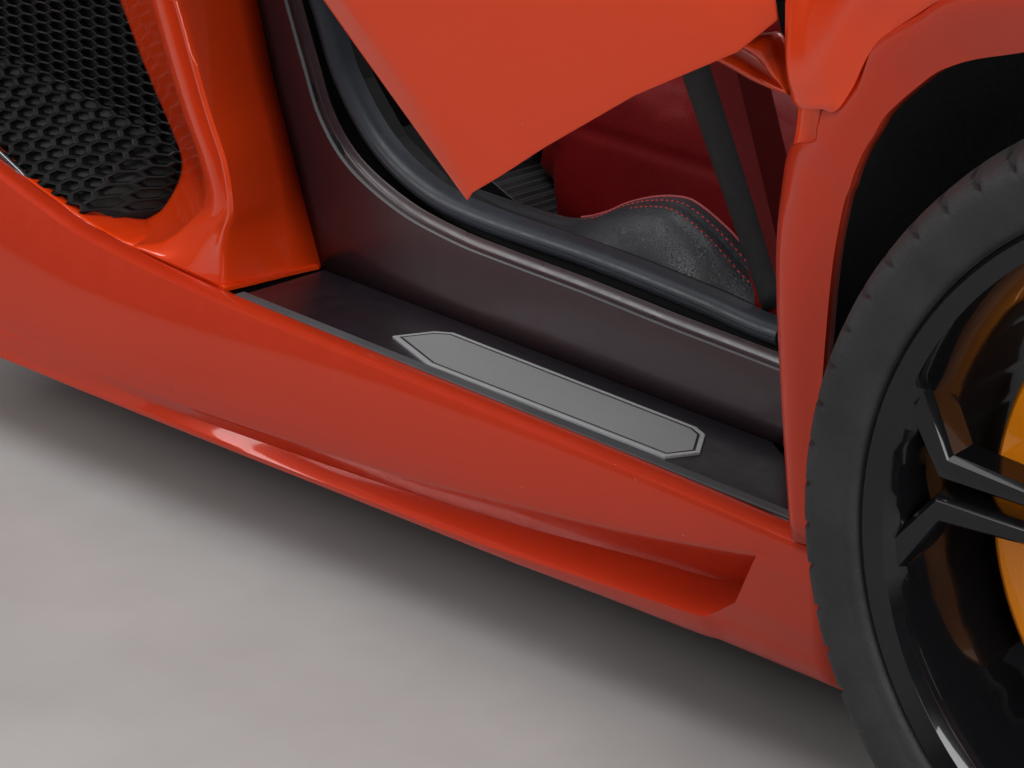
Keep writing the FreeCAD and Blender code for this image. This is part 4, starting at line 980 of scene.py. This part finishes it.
def tyre_mesh():
    outside = tyre_half + [(TYRE_R - (t / 90) ** 2 * 1.2, t) for t in tread_outs]
    profile = outside + [(r, -out) for r, out in reversed(outside)]
    verts = []
    for i in range(TYRE_STEPS):
        turn = 2 * math.pi * i / TYRE_STEPS
        for r, out in profile:
            radius = r - (tread_depth(turn, out) if r > 312 else 0)
            verts.append(wheel_at(radius * math.cos(turn), out, radius * math.sin(turn)))
    return verts, grid_faces(TYRE_STEPS, len(profile), True, False)


even_normals(piece("tyre_look", *tyre_mesh(), "tyre", "tyre_rubber", ["tyre"], 38, "wheel"))

# Door skin, drawn shut and swung to its open rest
HINGE = Vector((-420, -870, 624))
HINGE_TURN = Matrix.Rotation(math.radians(64.6), 4, Vector((0.131, 1, 0.36)).normalized())


def opened(p):
    return HINGE + HINGE_TURN @ (Vector(p) - HINGE)


# Each row: height, x of the front and rear edge, y of both, and bulge
door_table = [
    (233.5, -412, -1096, -924, -909, 4),
    (255, -416.5, -1094.2, -925.8, -909.8, 11.2),
    (262, -417.3, -1094.2, -926, -910, 13.4),
    (340, -425, -1098, -924, -909, 14),
    (450, -432, -1140, -923, -906, 12),
    (560, -429, -1182, -922, -899, 8),
    (606, -437, -1200, -918, -889, 6),
    (690, -612, -1236, -892, -862, 4),
    (786, -815, -1288, -848, -824, 2),
]


def door_rows():
    made = []
    for z, front, rear, front_y, rear_y, bulge in levels(door_table, [3, 3, 8, 8, 8, 8, 8, 8]):
        row = []
        for k in range(49):
            t = (k / 48) ** 1.4
            drop = 11 * max(0, 1 - t / 0.14) * max(0, 1 - abs(z - 257) / 24)
            y = mix(front_y, rear_y, t) - bulge * 4 * t * (1 - t)
            row.append(opened((mix(front, rear, t), y, z - drop)))
        made.append(row)
    return made


door = sheet("door_skin_look", door_rows(), "paint", "body_paint", ["door_skin"], thick=2.5, sharp=25,
             body="door")
bevel(door, 0.8, 40)

# CAD nodes whose edges only need rounding: node, look, width of the rounding, and slot
for entry in (
    ("rim", "gloss_black", 1.2), ("brake_caliper", "caliper", 4, "caliper_paint"), ("hub", "steel", 1),
    ("lock_nut", "steel", 1.5), ("knuckle", "alloy", 2), ("lower_arm", "alloy", 0.8),
    ("upper_arm", "alloy", 0.8), ("front_frame", "alloy", 3), ("steering_rack", "alloy", 1),
    ("sill_step", "satin_black", 1, "black_satin"), ("step_strip", "strip", 0.8, "rubber"),
    ("seat_shell", "carbon", 4), ("seat_rails", "steel", 1.5), ("door_frame", "carbon", 1.5),
    ("door_mirror", "paint", 5, "body_paint"), ("tunnel_side", "carbon", 1.5),
    ("hinge_bracket", "paint_inner", 3, "body_paint"), ("rear_bulkhead", "carbon", 1.5),
    ("tub_ring", "tub", 4, "carbon"), ("hinge_pillar", "leather_red", 2, "carbon"),
    ("arch_liner", "liner", 1, "black_plastic"), ("floor_pan", "carpet", 2, "carbon"),
    ("front_bulkhead", "carpet", 2, "carbon"), ("track_rod", "steel", 0.8), ("sill_beam", "carbon", 1.5),
    ("mirror_glass", "mirror", 0.6), ("door_glass", "glass", 1.2, "window"),
):
    refined(*entry)

# The ring's front leg is trimmed in red leather inside the opening
ring = bpy.data.objects["tub_ring_look"]
ring.data.materials.append(MAT["leather_red"])
for poly in ring.data.polygons:
    spot = in_car(ring.matrix_world @ poly.center)
    if spot.x > -760 and spot.z > 300:
        poly.material_index = 1

# Brake disc, drilled in three rings: radius as a share of the disc's, and angle of the first hole
DRILL_RINGS = [(0.90, 0), (0.80, 5), (0.70, 2.5)]
DRILL_R = 4
DRILL_REACH = 60


def drill_mesh(middle, radius):
    up = Vector((0, 0, 1))
    work = bmesh.new()
    for share, start in DRILL_RINGS:
        for k in range(36):
            turn = math.radians(10 * k + start)
            spot = middle + (AHEAD * math.cos(turn) + up * math.sin(turn)) * radius * share
            rims = []
            for depth in (-DRILL_REACH, DRILL_REACH):
                end = spot + AXLE * depth
                points = [end + (AHEAD * c + up * s) * DRILL_R for c, s in around(10)]
                rims.append([work.verts.new(at(*p)) for p in points])
            work.faces.new(rims[0])
            work.faces.new(list(reversed(rims[1])))
            for j in range(10):
                n = (j + 1) % 10
                work.faces.new((rims[0][j], rims[1][j], rims[1][n], rims[0][n]))
    bmesh.ops.recalc_face_normals(work, faces=work.faces)
    mesh = bpy.data.meshes.new("drills")
    work.to_mesh(mesh)
    work.free()
    return mesh


def drilled_disc():
    disc = refined("brake_disc", "disc", 0, "cast")
    source = nodes["brake_disc"]
    spots = [source.matrix_world @ v.co for v in source.data.vertices]
    low = Vector([min(p[k] for p in spots) for k in range(3)])
    high = Vector([max(p[k] for p in spots) for k in range(3)])
    drills = linked("drills", drill_mesh(in_car((low + high) / 2), (high.z - low.z) / 2 * MM))
    cut = disc.modifiers.new("drill", "BOOLEAN")
    cut.operation = "DIFFERENCE"
    cut.object = drills
    cut.solver = "EXACT"
    shape = evaluated(disc)
    disc.modifiers.clear()
    if len(shape.polygons) > len(disc.data.polygons):
        disc.data = shape
    dress(disc, "disc")
    bpy.data.objects.remove(drills)


drilled_disc()


# Padded seat pieces, swollen by a cloth simulation
def swell(obj):
    made = obj.modifiers.new("swell", "CLOTH")
    made.settings.use_pressure = True
    made.settings.uniform_pressure_force = 4
    made.settings.effector_weights.gravity = 0
    made.settings.quality = 5
    for k in range(1, 21):
        SCENE.frame_set(k)
    shape = evaluated(obj)
    obj.modifiers.clear()
    obj.data = shape
    SCENE.frame_set(1)


def cushion(name, cap, channels):
    # Each channel: axis, place, width and depth. No point swells further than the cap.
    mesh = nodes[name].data.copy()
    mesh.transform(nodes[name].matrix_world)
    made = linked(name + "_look", mesh)
    dress(made, "leather_red")
    grid = made.modifiers.new("grid", "REMESH")
    grid.mode = "VOXEL"
    grid.voxel_size = 0.006
    soft = made.modifiers.new("soft", "SMOOTH")
    soft.factor = 0.8
    soft.iterations = 14
    made.data = evaluated(made)
    made.modifiers.clear()
    before = [v.co.copy() for v in made.data.vertices]
    swell(made)
    normals = [v.normal.copy() for v in made.data.vertices]
    for v, old, way in zip(made.data.vertices, before, normals):
        move = v.co - old
        if move.length > cap / MM:
            move = move.normalized() * cap / MM
        v.co = old + move
        spot = in_car(v.co)
        for axis, place, width, deep in channels:
            v.co -= way * math.exp(-((spot[axis] - place) / width) ** 2) * deep / MM
    smooth(made.data)
    fine = made.modifiers.new("fine", "SUBSURF")
    fine.levels = 1
    fine.render_levels = 1
    settle(made, "leather_red", BODY[name], [name])


long_seams = [(1, y, 6, 5) for y in (-500, -325)]
cushion("seat_cushion", 7, [(0, x, 7, 5) for x in (-720, -800, -880, -960)] + long_seams)
cushion("seat_back", 7, [(2, z, 8, 5) for z in (430, 510, 590, 670, 750)] + long_seams)
cushion("seat_bolsters", 6, [(2, 352, 4, 3)])

# Door card with a padded middle and a seam across it. Each row: height, x of the front and rear edge, and y
card_table = [
    (236, -418, -1094, -818),
    (258, -417, -1094, -817),
    (340, -425, -1098, -817),
    (450, -432, -1140, -815),
    (560, -429, -1182, -806),
    (606, -437, -1200, -800),
    (690, -612, -1236, -776),
    (780, -802, -1284, -740),
]


def door_card_rows():
    made = []
    for z, front, rear, y in levels(card_table, [6] * 7):
        row = []
        for k in range(41):
            t = k / 40
            x = mix(front - 177, rear + 162, t)
            inner = min(1, min(t, 1 - t) / 0.06)
            inner *= max(0, min(1, (z - 300) / 22, (735 - z) / 22))
            seam = math.exp(-((z - 470) / 5) ** 2)
            padding = 7.6 + 3.4 * math.sin(inner * math.pi / 2) - 2.4 * seam * inner
            row.append(opened((x, y + padding, z)))
        made.append(row)
    return made


sheet("door_card_look", door_card_rows(), "leather_red", "red_leather", ["door_card"], toward=(0, 1, 0),
      body="door")

# Hinge arm: a crowned cover over a lower web, both riding with the door. Each row: x and z of both edges
arm_upper = [
    ((-484, 588), (-481, 578)), ((-471.9, 591.5), (-474.5, 575.9)), ((-458.9, 593.4), (-464.3, 569.1)),
    ((-449.7, 581.2), (-454.2, 562.3)), ((-441.4, 569.5), (-443.1, 558.7)), ((-434, 558), (-435, 555)),
]
arm_lower = [
    ((-524, 572), (-527, 560)), ((-501.3, 568), (-505, 556)), ((-480.8, 563), (-485, 552)),
    ((-460.5, 558), (-464.5, 550)), ((-444.5, 556), (-447, 549.5)), ((-434, 555), (-435, 551)),
]
for name, table, y, crown, hides in (
    ("hinge_arm_look", arm_upper, -901, 7, ["hinge_arm"]), ("hinge_arm_web", arm_lower, -891, 5, []),
):
    steps = [(0, 12), (0, 2), (0.12, -crown * 0.5), (0.4, -crown), (0.7, -crown * 0.8), (0.93, -crown * 0.2),
             (1, 2), (1, 12)]
    rows = [crossing(high, low, y, steps) for high, low in table]
    sheet(name, curve_grid(rows, 4, 3), "paint_inner", "body_paint", hides, thick=1.5, body="door")

# Floor
FLOOR_HALF = 30
floor_z = min(ROAD_Z, cad_box[0][2]) - 0.0005
floor_mesh = bpy.data.meshes.new("floor")
corners = [(x * FLOOR_HALF, y * FLOOR_HALF, floor_z) for x, y in ((-1, -1), (1, -1), (1, 1), (-1, 1))]
floor_mesh.from_pydata(corners, [], [(0, 1, 2, 3)])
floor_look = plain("studio_floor", (0.40, 0.39, 0.38), (0.45, 0.44, 0.43), 0.75, 90.0, 0.05, 0.001)
floor_mesh.materials.append(floor_look)
linked("floor", floor_mesh)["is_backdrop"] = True

# Lamps: name, place, what it points at, width and height in metres, and watts
for name, place, aim, extent, power in (
    ("sky", (-0.2, -1.9, 4), (0.1, -0.7, 0), (4.5, 2.6), 112),
    ("side", (-3, -4.2, 2.3), (-0.1, -0.6, 0.1), (3.4, 0.9), 70),
    ("front", (3.3, -1.7, 1.9), (-0.2, -0.75, 0.1), (1.4, 1), 46),
    ("low", (2.6, -1.85, 0.7), (0, -0.75, 0.25), (0.9, 0.7), 13),
    ("back", (-0.6, 3.6, 2.4), (0.2, -0.4, 0.3), (2.4, 1.6), 46),
):
    data = bpy.data.lights.new(name, "AREA")
    data.shape = "RECTANGLE"
    data.size, data.size_y = extent
    data.energy = power
    lamp = linked(name, data)
    lamp.location = place
    lamp.rotation_euler = (Vector(aim) - Vector(place)).to_track_quat("-Z", "Y").to_euler()

# World, brighter where the camera sees it
WORLD_LIGHT = 0.08
WORLD_SEEN = 0.35
world = bpy.data.worlds.new("studio")
SCENE.world = world
world.use_nodes = True
tree = world.node_tree
background = tree.nodes["Background"]
background.inputs["Color"].default_value = (0.88, 0.93, 1, 1)
seen = node(tree, "ShaderNodeLightPath").outputs["Is Camera Ray"]
strength = maths(tree, "MULTIPLY_ADD", seen, WORLD_SEEN, WORLD_LIGHT)
tree.links.new(strength, background.inputs["Strength"])

# Camera, fitted to the photo
FOCAL_PX = 3603.447
PHOTO_WIDTH = 1024
RIGHT = Vector((0.6732546551, 0.7393642709, -0.0082851839))
UP = Vector((-0.2672278031, 0.2537510545, 0.9296234203))
AIM = Vector((-0.6894327165, 0.6236592637, -0.3684177685))
camera_data = bpy.data.cameras.new("view")
camera_data.sensor_width = 36
camera_data.lens = FOCAL_PX / PHOTO_WIDTH * camera_data.sensor_width
camera_data.clip_start = 0.05
camera = linked("view", camera_data)
turn = Matrix((RIGHT, UP, -AIM)).transposed().to_4x4()
camera.matrix_world = Matrix.Translation(at(1271.1767, -2719.3982, 1318.0116)) @ turn
SCENE.camera = camera
SCENE.view_settings.view_transform = "Standard"

size = {"cad": [list(map(float, corner)) for corner in cad_box]}
size["visual"] = [list(map(float, corner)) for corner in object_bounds()]
